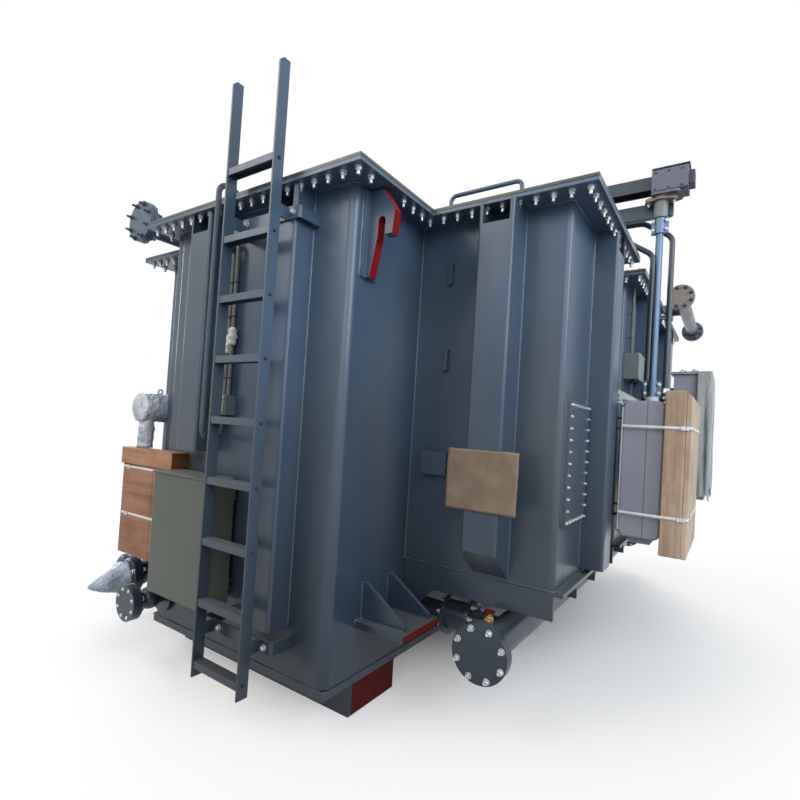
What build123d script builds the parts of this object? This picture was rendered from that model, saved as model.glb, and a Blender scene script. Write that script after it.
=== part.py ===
from build123d import *
import os

# Power transformer tank, shipped with its pipes blanked off and its tap-changer
# drive fitted. Millimetres, +Z up, ladder on the -Y end, tap-changer drive on +X.
# The origin is the centre of the middle base beam's underside.

# Tank block and its side wings
core_width = 1413.0
core_corner_r = 45.0
wall_t = 12.0
wall_height = 2379.0
wing_count = 3
wing_gap = 520.0
wing_corner_r = 30.0
wing_floor_height = 510.0
right_wing_depth = 841.0
right_wing_length = 877.0
right_end_step = 622.0
left_wing_depth = 707.0
left_end_step = 371.0
bottom_plate_t = 40.0

# Flange and lid
flange_t = 19.0
lid_t = 16.0
lid_overhang = 143.0
flange_lip = 25.0

# Base beams, across the tank
beam_width = 355.0
beam_height = 170.0
beam_setback = 217.0
beam_chamfer = 18.0

# Skirt frames under the wings
ledge_t = 20.0
ledge_out = 45.0
skirt_height = 117.0
skirt_t = 16.0
haunch_reach = 198.0
haunch_drop = 86.0

# Box stiffeners on the walls
stiff_width = 185.0
stiff_depth = 125.0
stiff_t = 8.0
stiff_bend_r = 14.0
stiff_window = 109.0
stiff_window_rim = 22.0
front_stiff_left = 392.5
front_stiff_right = 1067.5
front_left_stiff_foot = 1040.0
front_right_stiff_foot = 240.0
wing_stiff_depth = 170.0
wing_stiff_inset = 324.0
wing_stiff_foot = 520.0
wing_stiff_slope = 140.0
side_stiff_inset = 528.0
side_stiff_foot = 540.0
corner_stiff_inset = 118.0
corner_stiff_width = 150.0
corner_stiff_depth = 100.0
corner_stiff_foot = 560.0

# Lifting lugs: a hook plate on a doubling strip
lug_t = 50.0
lug_inset = 125.0
lug_left_inset = 290.0
lug_reach = 165.0
lug_height = 420.0
lug_top_gap = 8.0
lug_doubler_t = 14.0
lug_doubler_width = 120.0
lug_notch_r = 21.0
lug_notch_out = 92.0
lug_notch_drop = 155.0
lug_lip = 70.0
lug_shoulder = 112.0
lug_tip_in = 10.0
lug_foot_out = 21.0

# Jacking pads
pad_width = 330.0
pad_inset = 368.0
pad_reach = 287.0
pad_t = 34.0
pad_level = 276.0
gusset_t = 22.0
gusset_spacing = 219.0
gusset_height = 180.0
gusset_nose = 26.0

# Ladder on the front wall
ladder_at = 941.0
ladder_clear = 332.0
stringer_t = 10.0
stringer_depth = 60.0
stringer_chamfer = 22.0
ladder_standoff = 182.0
ladder_foot_drop = 42.0
ladder_rise = 526.0
rung_count = 9
rung_pitch = 300.0
rung_foot = 3.0
rung_height = 35.0
rung_t = 5.0
rung_inset = 3.0
top_rung_lift = 45.0
bracket_height = 60.0
bracket_t = 10.0
bracket_bend_r = 14.0
bracket_reach_left = 256.0
bracket_reach_right = 259.0
bracket_high = 2200.0
bracket_low = 150.0

# Handles on the wing lids
handle_dia = 22.0
handle_length = 390.0
handle_height = 76.0
handle_bend_r = 32.0
handle_edge = 38.0
left_handle_out = 230.0

# Bolted cover on the first right wing
cover_width = 366.0
cover_height = 610.0
cover_t = 14.0
cover_frame_t = 10.0
cover_plate_inset = 6.0
cover_inset = 38.0
cover_level = 810.0

# Rating board, its bracket and the cable clips on the first right wing
board_width = 368.0
board_height = 295.0
board_t = 10.0
board_level = 860.0
plate_bracket_width = 158.0
plate_bracket_height = 126.0
plate_bracket_out = 50.0
plate_bracket_t = 5.0
plate_bracket_at = 97.0
plate_bracket_level = 997.0
clip_width = 24.0
clip_height = 115.0
clip_out = 26.0
clip_t = 5.0
clip_at = 187.0
clip_low = 1564.0
clip_high = 2035.0

# Front terminal box, conduits and the arched conduit
tbox_width = 132.0
tbox_height = 108.0
tbox_depth = 62.0
tbox_lid_t = 8.0
tbox_lid_rim = 6.0
tbox_at = 575.0
tbox_level = 1250.0
conduit_dia = 22.0
conduit_bend_r = 34.0
conduit_out = 30.0
conduit_spread = 36.0
conduit_low_top = 2150.0
conduit_high_top = 2200.0
arch_dia = 30.0
arch_at = 625.0
arch_back = 60.0
arch_clear = 22.0
arch_rise = 60.0
arch_top_r = 50.0
arch_bend_r = 62.0
arch_drop = 130.0
arch_foot_dia = 80.0
arch_foot_t = 12.0

# Front control cabinet on rails
cabinet_width = 475.0
cabinet_height = 661.0
cabinet_depth = 176.0
cabinet_edge_r = 8.0
cabinet_roof_t = 8.0
cabinet_roof_over = 8.0
cabinet_at = 260.0
cabinet_level = 257.0
door_t = 26.0
door_gap = 4.0
door_gap_depth = 5.0
rail_height = 60.0
rail_depth = 34.0
rail_inset = 90.0

# Plywood crate at the front left corner
crate_width = 558.0
crate_height = 665.0
crate_depth = 92.0
crate_board_height = 104.0
crate_board_out = 12.0
crate_right = 246.0
crate_level = 345.0
crate_seat = 0.3

# Flanged pipes: outside diameter of pipe and flange, and flange thickness
dn150 = (168.3, 285.0, 24.0)
dn100 = (114.3, 220.0, 22.0)
dn80 = (88.9, 200.0, 22.0)
blind_t = 26.0
gasket_t = 4.0
gasket_rim = 33.0
right_low_out = 557.0
right_low_level = 195.0
right_low_setback = 450.0
right_branch_inset = 190.0
left_low_out = 560.0
left_low_level = 95.0
left_low_setback = 100.0
left_branch_inset = 480.0
left_high_out = 595.0
left_high_lift = 166.0
left_high_setback = 35.0
right_high_past = 95.0
right_high_lift = 166.0
right_high_start = 3300.0
right_high_overrun = 25.0
right_high_root = 150.0
valve_width = 120.0
valve_neck = 28.0
drain_at = 96.0
drain_level = 145.0
drain_reach = 235.0
drain_ball_dia = 128.0
drain_ball_back = 94.0
purge_dia = 34.0
purge_height = 46.0

# Film-wrapped valve on the first left wing
wrap_out = 220.0
wrap_level = 1270.0
wrap_dia = 175.0
wrap_front = 58.0
wrap_drum = 156.0
wrap_taper = 28.0
wrap_waist_dia = 150.0
wrap_ring_dia = 204.0
wrap_ring_t = 46.0
wrap_neck_dia = 122.0
wrap_neck = 34.0
wrap_flange_dia = 210.0
wrap_leg_dia = 80.0
wrap_leg_back = 44.0

# Motor drive cabinet, its wooden guard and carriers
drive_width = 650.0
drive_height = 758.0
drive_depth = 212.0
drive_edge_r = 38.0
drive_lid_r = 14.0
drive_standoff = 152.0
drive_lap = 249.0
drive_level = 712.0
drive_door = 88.0
drive_plate_t = 6.0
drive_plate_out = 16.0
drive_gland_t = 34.0
drive_gland_inset = 52.0
ear_t = 8.0
ear_inset = 20.0
ear_back = 55.0
ear_reach = 80.0
ear_rise = 78.0
ear_drop = 30.0
ear_hole_dia = 13.0
guard_board_t = 128.0
guard_board_side = 32.0
guard_board_under = 66.0
guard_board_over = 60.0
guard_board_chamfer = 40.0
carrier_height = 70.0
carrier_t = 8.0
carrier_inset = 90.0
carrier_width = 72.0

# Drive shaft, bevel gearbox and its carrier
shaft_tube_dia = 42.0
shaft_pin_dia = 25.0
shaft_pin_depth = 30.0
shaft_fit = 0.08
shaft_end_gap = 0.3
coupling_dia = 62.0
coupling_height = 96.0
clamp_width = 92.0
clamp_t = 26.0
shaft_seat_dia = 74.0
shaft_seat_height = 44.0
shaft_from_back = 106.0
shaft_past_wing = 51.0
gear_width = 192.0
gear_depth = 150.0
gear_height = 142.0
gear_back = 48.0
gear_plate_t = 14.0
gear_plate_r = 38.0
gear_lift = 312.0
gear_edge_r = 10.0
gear_neck_dia = 76.0
gear_neck_height = 123.0
gear_cap = 30.0
gear_roof_t = 5.0
gear_roof_over = 6.0
arm_t = 40.0
arm_height = 89.0
arm_length = 400.0
arm_past_shaft = 62.0
arm_seat = 27.0
arm_edge_r = 14.0
post_width = 90.0
post_foot_t = 12.0
post_foot_out = 45.0
tube_guard_height = 80.0
tube_guard_width = 96.0
tube_guard_t = 4.0

# Tap-changer head on the lid
head_dia = 600.0
head_flange_t = 34.0
head_flange_out = 40.0
head_height = 190.0
head_dome = 70.0
head_gear_width = 170.0
head_from_edge = 480.0

# Blanked bushing openings on the wing lids
bushing_wall_height = 46.0
bushing_flange_out = 45.0
bushing_flange_t = 20.0
bushing_gap = 16.0
right_bushing_dia = 400.0
left_bushing_dia = 280.0
left_bushing_out = 210.0

# Oil pipes of the tap changer: place along X from the wing wall, and height over the lid
oil_dia = 34.0
oil_bend_r = 70.0
oil_far_out = 306.0
oil_far_lift = 262.0
oil_near_out = 204.0
oil_near_lift = 146.0
oil_slope_run = 170.0
oil_slope_drop = 116.0
oil_root_gap = 40.0
oil_root_step = 50.0
oil_row = 78.0
oil_row_step = 46.0
oil_valve_dia = 52.0
oil_valve_height = 92.0

# Terminal box and marshalling cabinet on the second right wing
wing_box_width = 260.0
wing_box_height = 190.0
wing_box_depth = 96.0
wing_box_inset = 80.0
wing_box_level = 1690.0
marshal_width = 420.0
marshal_height = 930.0
marshal_depth = 222.0
marshal_standoff = 290.0
marshal_inset = 430.0
marshal_level = 850.0
marshal_roof_t = 16.0
marshal_roof_over = 20.0
marshal_arm_height = 60.0
marshal_arm_t = 60.0
marshal_arm_inset = 120.0
marshal_arm_back = 80.0

# Levels and planes worked out from the sizes above
half_w = core_width / 2
tank_length = 2 * right_end_step + wing_count * right_wing_length + (wing_count - 1) * wing_gap
left_wing_length = (tank_length - 2 * left_end_step - (wing_count - 1) * wing_gap) / wing_count
front = -tank_length / 2
rear = tank_length / 2
x_right = half_w + right_wing_depth
x_left = -half_w - left_wing_depth
z_tank = beam_height + bottom_plate_t
z_floor = z_tank + wing_floor_height
z_top = z_tank + wall_height
z_lid = z_top + flange_t
z_lid_top = z_lid + lid_t


def right_wing_span(index):
    """The front and rear wall planes of a right wing."""
    start = front + right_end_step + index * (right_wing_length + wing_gap)
    return start, start + right_wing_length


def left_wing_span(index):
    """The front and rear wall planes of a left wing."""
    start = front + left_end_step + index * (left_wing_length + wing_gap)
    return start, start + left_wing_length


def block(x0, x1, y0, y1, z0, z1):
    """A rectangular block between two corners."""
    centre = Pos((x0 + x1) / 2, (y0 + y1) / 2, (z0 + z1) / 2)
    return centre * Box(abs(x1 - x0), abs(y1 - y0), abs(z1 - z0))


def slab(sketch, z0, z1):
    """A flat outline raised from one level to another."""
    return Pos(0, 0, z0) * extrude(sketch, z1 - z0)


def rectangle(x0, x1, y0, y1):
    """A rectangle between two corners, as a flat outline."""
    return Pos((x0 + x1) / 2, (y0 + y1) / 2) * Rectangle(abs(x1 - x0), abs(y1 - y0))


def cylinder_y(x, z, y0, y1, dia):
    """A round bar along Y."""
    return Pos(x, (y0 + y1) / 2, z) * Rot(90, 0, 0) * Cylinder(dia / 2, abs(y1 - y0))


def cylinder_x(y, z, x0, x1, dia):
    """A round bar along X."""
    return Pos((x0 + x1) / 2, y, z) * Rot(0, 90, 0) * Cylinder(dia / 2, abs(x1 - x0))


def cylinder_z(x, y, z0, z1, dia):
    """A round bar along Z."""
    return Pos(x, y, (z0 + z1) / 2) * Cylinder(dia / 2, abs(z1 - z0))


def bent_tube(points, radius, dia):
    """A round bar along straight runs joined by bends of one radius."""
    path = FilletPolyline(*points, radius=radius)
    return sweep(Plane(path @ 0, z_dir=path % 0) * Circle(dia / 2), path=path)


def both_ends(shape):
    """A piece and its mirror image at the other end of the tank."""
    return [shape, mirror(shape, Plane.XZ)]


def write(name, *shapes):
    """Export one node, holding one or more separate pieces."""
    pieces = [solid for shape in shapes for solid in shape.solids()]
    export_step(Compound(children=pieces) if len(pieces) > 1 else pieces[0], f"parts/{name}.step")


def tank_core():
    """The central block's bent wall shell, open to each wing."""
    inside_w = core_width - 2 * wall_t
    inside_l = tank_length - 2 * wall_t
    ring = RectangleRounded(core_width, tank_length, core_corner_r)
    ring -= RectangleRounded(inside_w, inside_l, core_corner_r - wall_t)
    shell = slab(ring, z_tank, z_top)
    for index in range(wing_count):
        for side, span in ((1, right_wing_span(index)), (-1, left_wing_span(index))):
            y0 = span[0] + wall_t
            y1 = span[1] - wall_t
            x_in = side * (half_w - 2 * wall_t)
            x_out = side * (half_w + wall_t)
            shell -= block(x_in, x_out, y0, y1, z_floor + wall_t, z_top)
    return shell


def wing(side, span, depth):
    """A wing's bent U-shaped wall with its floor, open to the block and to the lid."""
    x_in = side * half_w
    x_out = side * (half_w + depth)
    outer = side > 0
    outline = rectangle(x_in, x_out, *span)
    outline = fillet(outline.vertices().group_by(Axis.X)[-1 if outer else 0], wing_corner_r)
    hollow = rectangle(x_in, x_out - side * wall_t, span[0] + wall_t, span[1] - wall_t)
    hollow = fillet(hollow.vertices().group_by(Axis.X)[-1 if outer else 0], wing_corner_r - wall_t)
    return slab(outline, z_floor, z_top) - slab(hollow, z_floor + wall_t, z_top)


def comb_outline(margin, inward=0.0):
    """The stepped plan of block and wings, grown by a margin."""
    plan = Rectangle(core_width + 2 * margin, tank_length + 2 * margin)
    for index in range(wing_count):
        y0, y1 = right_wing_span(index)
        plan += rectangle(-inward, x_right + margin, y0 - margin, y1 + margin)
        y0, y1 = left_wing_span(index)
        plan += rectangle(x_left - margin, inward, y0 - margin, y1 + margin)
    return plan


def top_flange():
    """The flange welded round the tops of the walls."""
    ring = comb_outline(lid_overhang) - comb_outline(-wall_t - flange_lip)
    return slab(ring, z_top, z_lid)


def lid():
    """The bolted lid plate over block and wings."""
    return slab(comb_outline(lid_overhang), z_lid, z_lid_top)


def base_beam(y_centre):
    """A box beam across the tank, its lower end edges chamfered as a skid."""
    y0 = y_centre - beam_width / 2
    y1 = y_centre + beam_width / 2
    beam = block(-half_w, half_w, y0, y1, 0, beam_height)
    ends = beam.edges().filter_by(Axis.Y).group_by(Axis.Z)[0]
    return chamfer(ends, beam_chamfer)


def skirt(side, span, depth):
    """The ledge under a wing with its cross ribs, which drop to a haunch at the block."""
    x_in = side * half_w
    x_out = side * (half_w + depth)
    z_ledge = z_floor - ledge_t
    z_low = z_ledge - skirt_height
    frame = block(x_in, x_out + side * ledge_out, span[0], span[1], z_ledge, z_floor)
    rib = Polyline(
        (x_in, z_ledge),
        (x_out, z_ledge),
        (x_out, z_low),
        (x_in + side * haunch_reach, z_low),
        (x_in + side * (haunch_reach - haunch_drop), z_low - haunch_drop),
        (x_in, z_low - haunch_drop),
        close=True,
    )
    face = make_face(Plane.XZ * rib)
    for y in (span[0] + skirt_t, (span[0] + span[1] + skirt_t) / 2, span[1]):
        frame += Pos(0, y, 0) * extrude(face, skirt_t, dir=(0, -1, 0))
    return frame


def stiffener(width, depth, foot, slope=0.0):
    """A bent box stiffener on a wall that faces -Y, with a bolting window under the flange."""
    z_foot = z_tank + foot
    outer = Polyline((0, z_foot), (-depth, z_foot + slope), (-depth, z_top), (0, z_top), close=True)
    inner = Polyline(
        (0, z_foot + stiff_t),
        (-depth + stiff_t, z_foot + slope + stiff_t),
        (-depth + stiff_t, z_top),
        (0, z_top),
        close=True,
    )
    body = extrude(make_face(Plane.YZ * outer), width / 2, both=True)
    bends = body.edges().filter_by(Axis.Z).group_by(Axis.Y)[0]
    body = fillet(bends, stiff_bend_r)
    body -= extrude(make_face(Plane.YZ * inner), width / 2 - stiff_t, both=True)
    half_window = width / 2 - stiff_window_rim
    body -= block(-half_window, half_window, -depth, -depth + stiff_t, z_top - stiff_window, z_top)
    return body


def on_right(shape, y):
    """Turn a piece made for a -Y wall to face +X, and set it on the right wing wall."""
    return Pos(x_right, y, 0) * Rot(0, 0, 90) * shape


def lifting_lug(inset, wall_x, side):
    """A hook plate whose notch opens downwards, on a doubling strip welded to the block."""
    z_high = z_top - lug_top_gap
    z_low = z_high - lug_height
    root = lug_doubler_t
    notch_z = z_high - lug_notch_drop
    notch_in = lug_notch_out - lug_notch_r
    notch_far = lug_notch_out + lug_notch_r
    plate = Polyline(
        (root, z_high),
        (lug_notch_out, z_high),
        (lug_reach, z_high - lug_shoulder),
        (lug_reach - lug_tip_in, notch_z - lug_lip),
        (notch_far, notch_z - lug_lip),
        (notch_far, notch_z),
        (notch_in, notch_z),
        (notch_in, notch_z - lug_lip),
        (root + lug_foot_out, z_low),
        (root, z_low),
        close=True,
    )
    profile = make_face(Plane.XZ * plate)
    hook = Pos(0, lug_t / 2, 0) * extrude(profile, lug_t, dir=(0, -1, 0))
    hook -= cylinder_y(lug_notch_out, notch_z, -lug_t / 2, lug_t / 2, 2 * lug_notch_r)
    strip = block(0, root, -lug_doubler_width / 2, lug_doubler_width / 2, z_low, z_high)
    lug = hook + strip
    if side < 0:
        lug = mirror(lug, Plane.YZ)
    return Pos(wall_x, front + inset, 0) * lug


def jacking_pad(side):
    """A thick pad on two gussets, low on the block's side wall."""
    z_pad = z_tank + pad_level
    pad = block(0, pad_reach, -pad_width / 2, pad_width / 2, z_pad - pad_t, z_pad)
    web = Polyline(
        (0, z_pad),
        (pad_reach - gusset_nose, z_pad),
        (pad_reach - gusset_nose, z_pad + gusset_nose),
        (gusset_nose, z_pad + gusset_height),
        (0, z_pad + gusset_height),
        close=True,
    )
    face = make_face(Plane.XZ * web)
    for offset in (-gusset_spacing / 2, gusset_spacing / 2):
        pad += Pos(0, offset + gusset_t / 2, 0) * extrude(face, gusset_t, dir=(0, -1, 0))
    if side < 0:
        pad = mirror(pad, Plane.YZ)
    return Pos(side * half_w, front + pad_inset, 0) * pad


ladder_x = ladder_at - half_w
ladder_back = front - ladder_standoff
ladder_face = ladder_back - stringer_depth
bracket_face = front - stiff_depth


def ladder_stringer(side):
    """A flat-bar stringer with a clipped top corner."""
    x_in = ladder_x + side * ladder_clear / 2
    x_out = x_in + side * stringer_t
    z_high = z_lid_top + ladder_rise
    bar = block(x_in, x_out, ladder_face, ladder_back, z_tank - ladder_foot_drop, z_high)
    corner = bar.edges().filter_by(Axis.X).group_by(Axis.Z)[-1].sort_by(Axis.Y)[0]
    return chamfer(corner, stringer_chamfer)


def ladder_rung(index):
    """A tread bent as an upside-down channel between the stringers."""
    z_low = z_tank + rung_foot + index * rung_pitch
    if index == rung_count - 1:
        z_low += top_rung_lift
    z_high = z_low + rung_height
    y0 = ladder_face + rung_inset
    y1 = ladder_back - rung_inset
    x0 = ladder_x - ladder_clear / 2
    x1 = ladder_x + ladder_clear / 2
    tread = block(x0, x1, y0, y1, z_low, z_high)
    return tread - block(x0, x1, y0 + rung_t, y1 - rung_t, z_low, z_high - rung_t)


def ladder_bracket(level):
    """A flat bar bent back to the wall at both ends, with an arm to each stringer."""
    z0 = z_tank + level
    z1 = z0 + bracket_height
    x0 = ladder_x - bracket_reach_left
    x1 = ladder_x + bracket_reach_right
    plan = rectangle(x0, x1, bracket_face - bracket_t, front)
    plan = fillet(plan.vertices().group_by(Axis.Y)[0], bracket_bend_r)
    gap = rectangle(x0 + bracket_t, x1 - bracket_t, bracket_face, front)
    bar = slab(plan - gap, z0, z1)
    for side in (-1, 1):
        x_in = ladder_x + side * ladder_clear / 2
        bar += block(x_in, x_in + side * stringer_t, ladder_back, bracket_face - bracket_t, z0, z1)
    return bar


def lid_handle(x_centre, y_edge):
    """A bent grab bar standing on a wing's lid, just inside its end edge."""
    x0 = x_centre - handle_length / 2
    x1 = x_centre + handle_length / 2
    y = y_edge + handle_edge
    top = z_lid_top + handle_height - handle_dia / 2
    points = [(x0, y, z_lid_top), (x0, y, top), (x1, y, top), (x1, y, z_lid_top)]
    return bent_tube(points, handle_bend_r, handle_dia)


def side_cover():
    """A bolted cover plate on a welded frame."""
    y0 = right_wing_span(0)[0] + cover_inset
    y1 = y0 + cover_width
    z0 = z_tank + cover_level
    z1 = z0 + cover_height
    x_frame = x_right + cover_frame_t
    frame = block(x_right, x_frame, y0, y1, z0, z1)
    rim = cover_plate_inset
    return frame + block(x_frame, x_frame + cover_t, y0 + rim, y1 - rim, z0 + rim, z1 - rim)


wing_front, wing_rear = right_wing_span(0)
wing_stiff_x = x_right - wing_stiff_inset


def rating_board():
    """The covered rating board on the wing's front stiffener."""
    y1 = wing_front - wing_stiff_depth
    z0 = z_tank + board_level
    half = board_width / 2
    return block(wing_stiff_x - half, wing_stiff_x + half, y1 - board_t, y1, z0, z0 + board_height)


def plate_bracket():
    """A small bent plate bracket standing off the wing's front wall."""
    x0 = half_w + plate_bracket_at
    x1 = x0 + plate_bracket_width
    y0 = wing_front - plate_bracket_out
    z0 = z_tank + plate_bracket_level
    z1 = z0 + plate_bracket_height
    tray = block(x0, x1, y0, wing_front, z0, z1)
    return tray - block(x0 + plate_bracket_t, x1 - plate_bracket_t, y0 + plate_bracket_t, wing_front, z0, z1)


def cable_clip(level):
    """A bent strip clip on the wing's front wall."""
    x0 = half_w + clip_at
    y0 = wing_front - clip_out
    z0 = z_tank + level
    z1 = z0 + clip_height
    strip = block(x0, x0 + clip_width, y0, wing_front, z0, z1)
    return strip - block(x0, x0 + clip_width, y0 + clip_t, wing_front, z0 + clip_t, z1 - clip_t)


tbox_x = tbox_at - half_w


def front_terminal_box():
    """A small box with a raised lid on the front wall."""
    x0 = tbox_x - tbox_width / 2
    x1 = tbox_x + tbox_width / 2
    z0 = z_tank + tbox_level
    z1 = z0 + tbox_height
    y0 = front - tbox_depth
    box = block(x0, x1, y0, front, z0, z1)
    rim = tbox_lid_rim
    return box + block(x0 + rim, x1 - rim, y0 - tbox_lid_t, y0, z0 + rim, z1 - rim)


def wall_conduit(aside, top):
    """A conduit from the terminal box up the wall and round into the left stiffener's side."""
    x = tbox_x + tbox_width / 2 - conduit_dia - aside
    y = front - conduit_out
    x_end = front_stiff_left + stiff_width / 2 - half_w
    z_start = z_tank + tbox_level + tbox_height
    z_turn = z_tank + top
    return bent_tube([(x, y, z_start), (x, y, z_turn), (x_end, y, z_turn)], conduit_bend_r, conduit_dia)


def arched_conduit():
    """A conduit from the lid, arched over its edge, down the front and up into the box."""
    x = arch_at - half_w
    y_root = front - lid_overhang + arch_back + arch_dia
    y_drop = front - lid_overhang - arch_clear - arch_dia / 2
    z_arch = z_lid_top + arch_rise
    z_box = z_tank + tbox_level
    z_loop = z_box - arch_drop
    y_box = front - conduit_out
    points = [
        (x, y_root, z_lid_top),
        (x, y_root, z_arch),
        (x, y_drop, z_arch),
        (x, y_drop, z_loop),
        (tbox_x, y_box, z_loop),
        (tbox_x, y_box, z_box),
    ]
    radii = [arch_top_r, arch_top_r, arch_bend_r, arch_bend_r]
    path = FilletPolyline(*points, radius=radii)
    tube = sweep(Plane(path @ 0, z_dir=path % 0) * Circle(arch_dia / 2), path=path)
    return tube + cylinder_z(x, y_root, z_lid_top, z_lid_top + arch_foot_t, arch_foot_dia)


cabinet_x = cabinet_at - half_w
cabinet_back = front - rail_depth


def front_cabinet():
    """A sheet cabinet with rounded edges and a thin roof."""
    y0 = cabinet_back - cabinet_depth
    z0 = z_tank + cabinet_level
    z1 = z0 + cabinet_height - cabinet_roof_t
    body = block(cabinet_x, cabinet_x + cabinet_width, y0, cabinet_back, z0, z1)
    body = fillet(body.edges().filter_by(Axis.Z).group_by(Axis.Y)[0], cabinet_edge_r)
    x1 = cabinet_x + cabinet_width
    deep = door_gap_depth
    gap = block(cabinet_x, x1, y0 + door_t, y0 + door_t + door_gap, z0, z1)
    body -= gap - block(cabinet_x + deep, x1 - deep, y0, cabinet_back, z0 + deep, z1)
    over = cabinet_roof_over
    return body + block(cabinet_x - over, x1 + over, y0 - over, cabinet_back, z1, z1 + cabinet_roof_t)


def cabinet_rail(z_centre):
    """A channel rail between cabinet and front wall."""
    z0 = z_centre - rail_height / 2
    z1 = z_centre + rail_height / 2
    x1 = cabinet_x + cabinet_width
    rail = block(cabinet_x, x1, cabinet_back, front, z0, z1)
    return rail - block(cabinet_x, x1, cabinet_back + stiff_t, front, z0 + stiff_t, z1 - stiff_t)


def front_crate():
    """A plywood crate with a heavier top board, held against the front wall."""
    x1 = crate_right - half_w
    x0 = x1 - crate_width
    y1 = front - crate_seat
    y0 = y1 - crate_depth
    z0 = z_tank + crate_level
    z1 = z0 + crate_height
    body = block(x0, x1, y0, y1, z0, z1 - crate_board_height)
    return body + block(x0 - crate_board_out, x1, y0 - crate_board_out, y1, z1 - crate_board_height, z1)


def blinded_flange(x, z, end, way, size):
    """A flange closed by a blind cover, with the gasket between them set in."""
    flange, thick = size[1:]
    gasket = end + way * blind_t
    seat = gasket + way * gasket_t
    pair = cylinder_y(x, z, end, gasket, flange)
    pair += cylinder_y(x, z, gasket, seat, flange - 2 * gasket_rim)
    return pair + cylinder_y(x, z, seat, seat + way * thick, flange)


def pipe_run_y(x, z, y0, y1, size):
    """A pipe along Y with a flange and a blind cover at each end."""
    run = cylinder_y(x, z, y0 + blind_t, y1 - blind_t, size[0])
    for end, way in ((y0, 1), (y1, -1)):
        run += blinded_flange(x, z, end, way, size)
    return run


def branch_x(x_pipe, x_wall, y, z, size):
    """A branch from a pipe to a wall, with a flanged valve body between."""
    pipe, flange, thick = size
    half = valve_width / 2
    x_mid = (x_pipe + x_wall) / 2
    run = cylinder_x(y, z, x_wall, x_pipe, pipe)
    for way in (-1, 1):
        face = x_mid + way * half
        run += cylinder_x(y, z, face, face + way * thick, flange)
    return run + cylinder_x(y, z, x_mid - half, x_mid + half, flange - 2 * valve_neck)


def right_lower_header():
    """The lower cooler header under the right wings, with branches to the block."""
    x = half_w + right_low_out
    z = z_tank + right_low_level
    header = pipe_run_y(x, z, front + right_low_setback, rear - right_low_setback, dn150)
    for index in range(wing_count):
        y = right_wing_span(index)[0] + right_branch_inset
        header += branch_x(x, half_w, y, z, dn100)
    y_purge = front + right_low_setback + 2 * (blind_t + dn150[2])
    z_pipe = z + dn150[0] / 2
    return header + cylinder_z(x, y_purge, z, z_pipe + purge_height, purge_dia)


def left_lower_header():
    """The lower cooler header under the left wings, with branches to the block."""
    x = -half_w - left_low_out
    z = z_tank + left_low_level
    header = pipe_run_y(x, z, front + left_low_setback, rear - left_low_setback, dn150)
    for index in range(wing_count):
        y = left_wing_span(index)[0] + left_branch_inset
        header += branch_x(x, -half_w, y, z, dn100)
    return header


def lid_branch(x, y, z, size):
    """A flanged stub from a pipe down to the lid."""
    pipe, flange, thick = size
    return cylinder_z(x, y, z_lid_top, z, pipe) + cylinder_z(x, y, z_lid_top, z_lid_top + thick, flange)


def left_upper_header():
    """The upper header over the left wings' lids, standing on a stub on each."""
    x = -half_w - left_high_out
    z = z_lid_top + left_high_lift
    header = pipe_run_y(x, z, front + left_high_setback, rear - left_high_setback, dn150)
    for index in range(wing_count):
        span = left_wing_span(index)
        header += lid_branch(x, (span[0] + span[1]) / 2, z, dn100)
    return header


def right_upper_header():
    """The upper header beside the last right wing, fed by one flanged branch from its lid."""
    x = x_right + lid_overhang + right_high_past
    z = z_lid_top + right_high_lift
    span = right_wing_span(wing_count - 1)
    y = (span[0] + span[1]) / 2
    header = pipe_run_y(x, z, front + right_high_start, rear + right_high_overrun, dn100)
    x_root = x_right - right_high_root
    header += lid_branch(x_root, y, z + dn80[0] / 2, dn80)
    return header + branch_x(x, x_root, y, z, dn80)


def drain_valve():
    """The bottom drain valve on the front wall, closed by a blind flange."""
    pipe, flange, thick = dn80
    x = drain_at - half_w
    z = z_tank + drain_level
    y_end = front - drain_reach
    body = cylinder_y(x, z, y_end, front, pipe) + blinded_flange(x, z, y_end, 1, dn80)
    body += Pos(x, front - drain_ball_back, z) * Sphere(drain_ball_dia / 2)
    return body + cylinder_y(x, z, front - thick, front, flange)


def wrapped_valve():
    """A valve standing out from the first left wing, with a leg down to the crate."""
    x = -half_w - wrap_out
    z = z_tank + wrap_level
    y_wall = left_wing_span(0)[0]
    y_end = front - wrap_front
    length = y_wall - y_end
    flange = length - blind_t
    ring = flange - wrap_neck
    half_profile = Polyline(
        (0, 0),
        (wrap_dia / 2, 0),
        (wrap_dia / 2, wrap_drum),
        (wrap_waist_dia / 2, wrap_drum + wrap_taper),
        (wrap_waist_dia / 2, ring - wrap_ring_t),
        (wrap_ring_dia / 2, ring - wrap_ring_t),
        (wrap_ring_dia / 2, ring),
        (wrap_neck_dia / 2, ring),
        (wrap_neck_dia / 2, flange),
        (wrap_flange_dia / 2, flange),
        (wrap_flange_dia / 2, length),
        (0, length),
        close=True,
    )
    body = revolve(make_face(half_profile), Axis.Y)
    z_crate = z_tank + crate_level + crate_height + crate_seat
    leg = cylinder_z(x, y_end + wrap_leg_back, z_crate, z, wrap_leg_dia)
    return Pos(x, y_end, z) * body + leg


drive_back = x_right + drive_standoff
drive_y0 = wing_rear - drive_lap
drive_y1 = drive_y0 + drive_width
z_drive = z_tank + drive_level
z_drive_top = z_drive + drive_height
shaft_x = drive_back + shaft_from_back
shaft_y = wing_rear + shaft_past_wing
z_arm = z_lid_top + gear_lift
z_gear = z_arm + gear_plate_t
z_neck = z_arm - gear_neck_height


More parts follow.
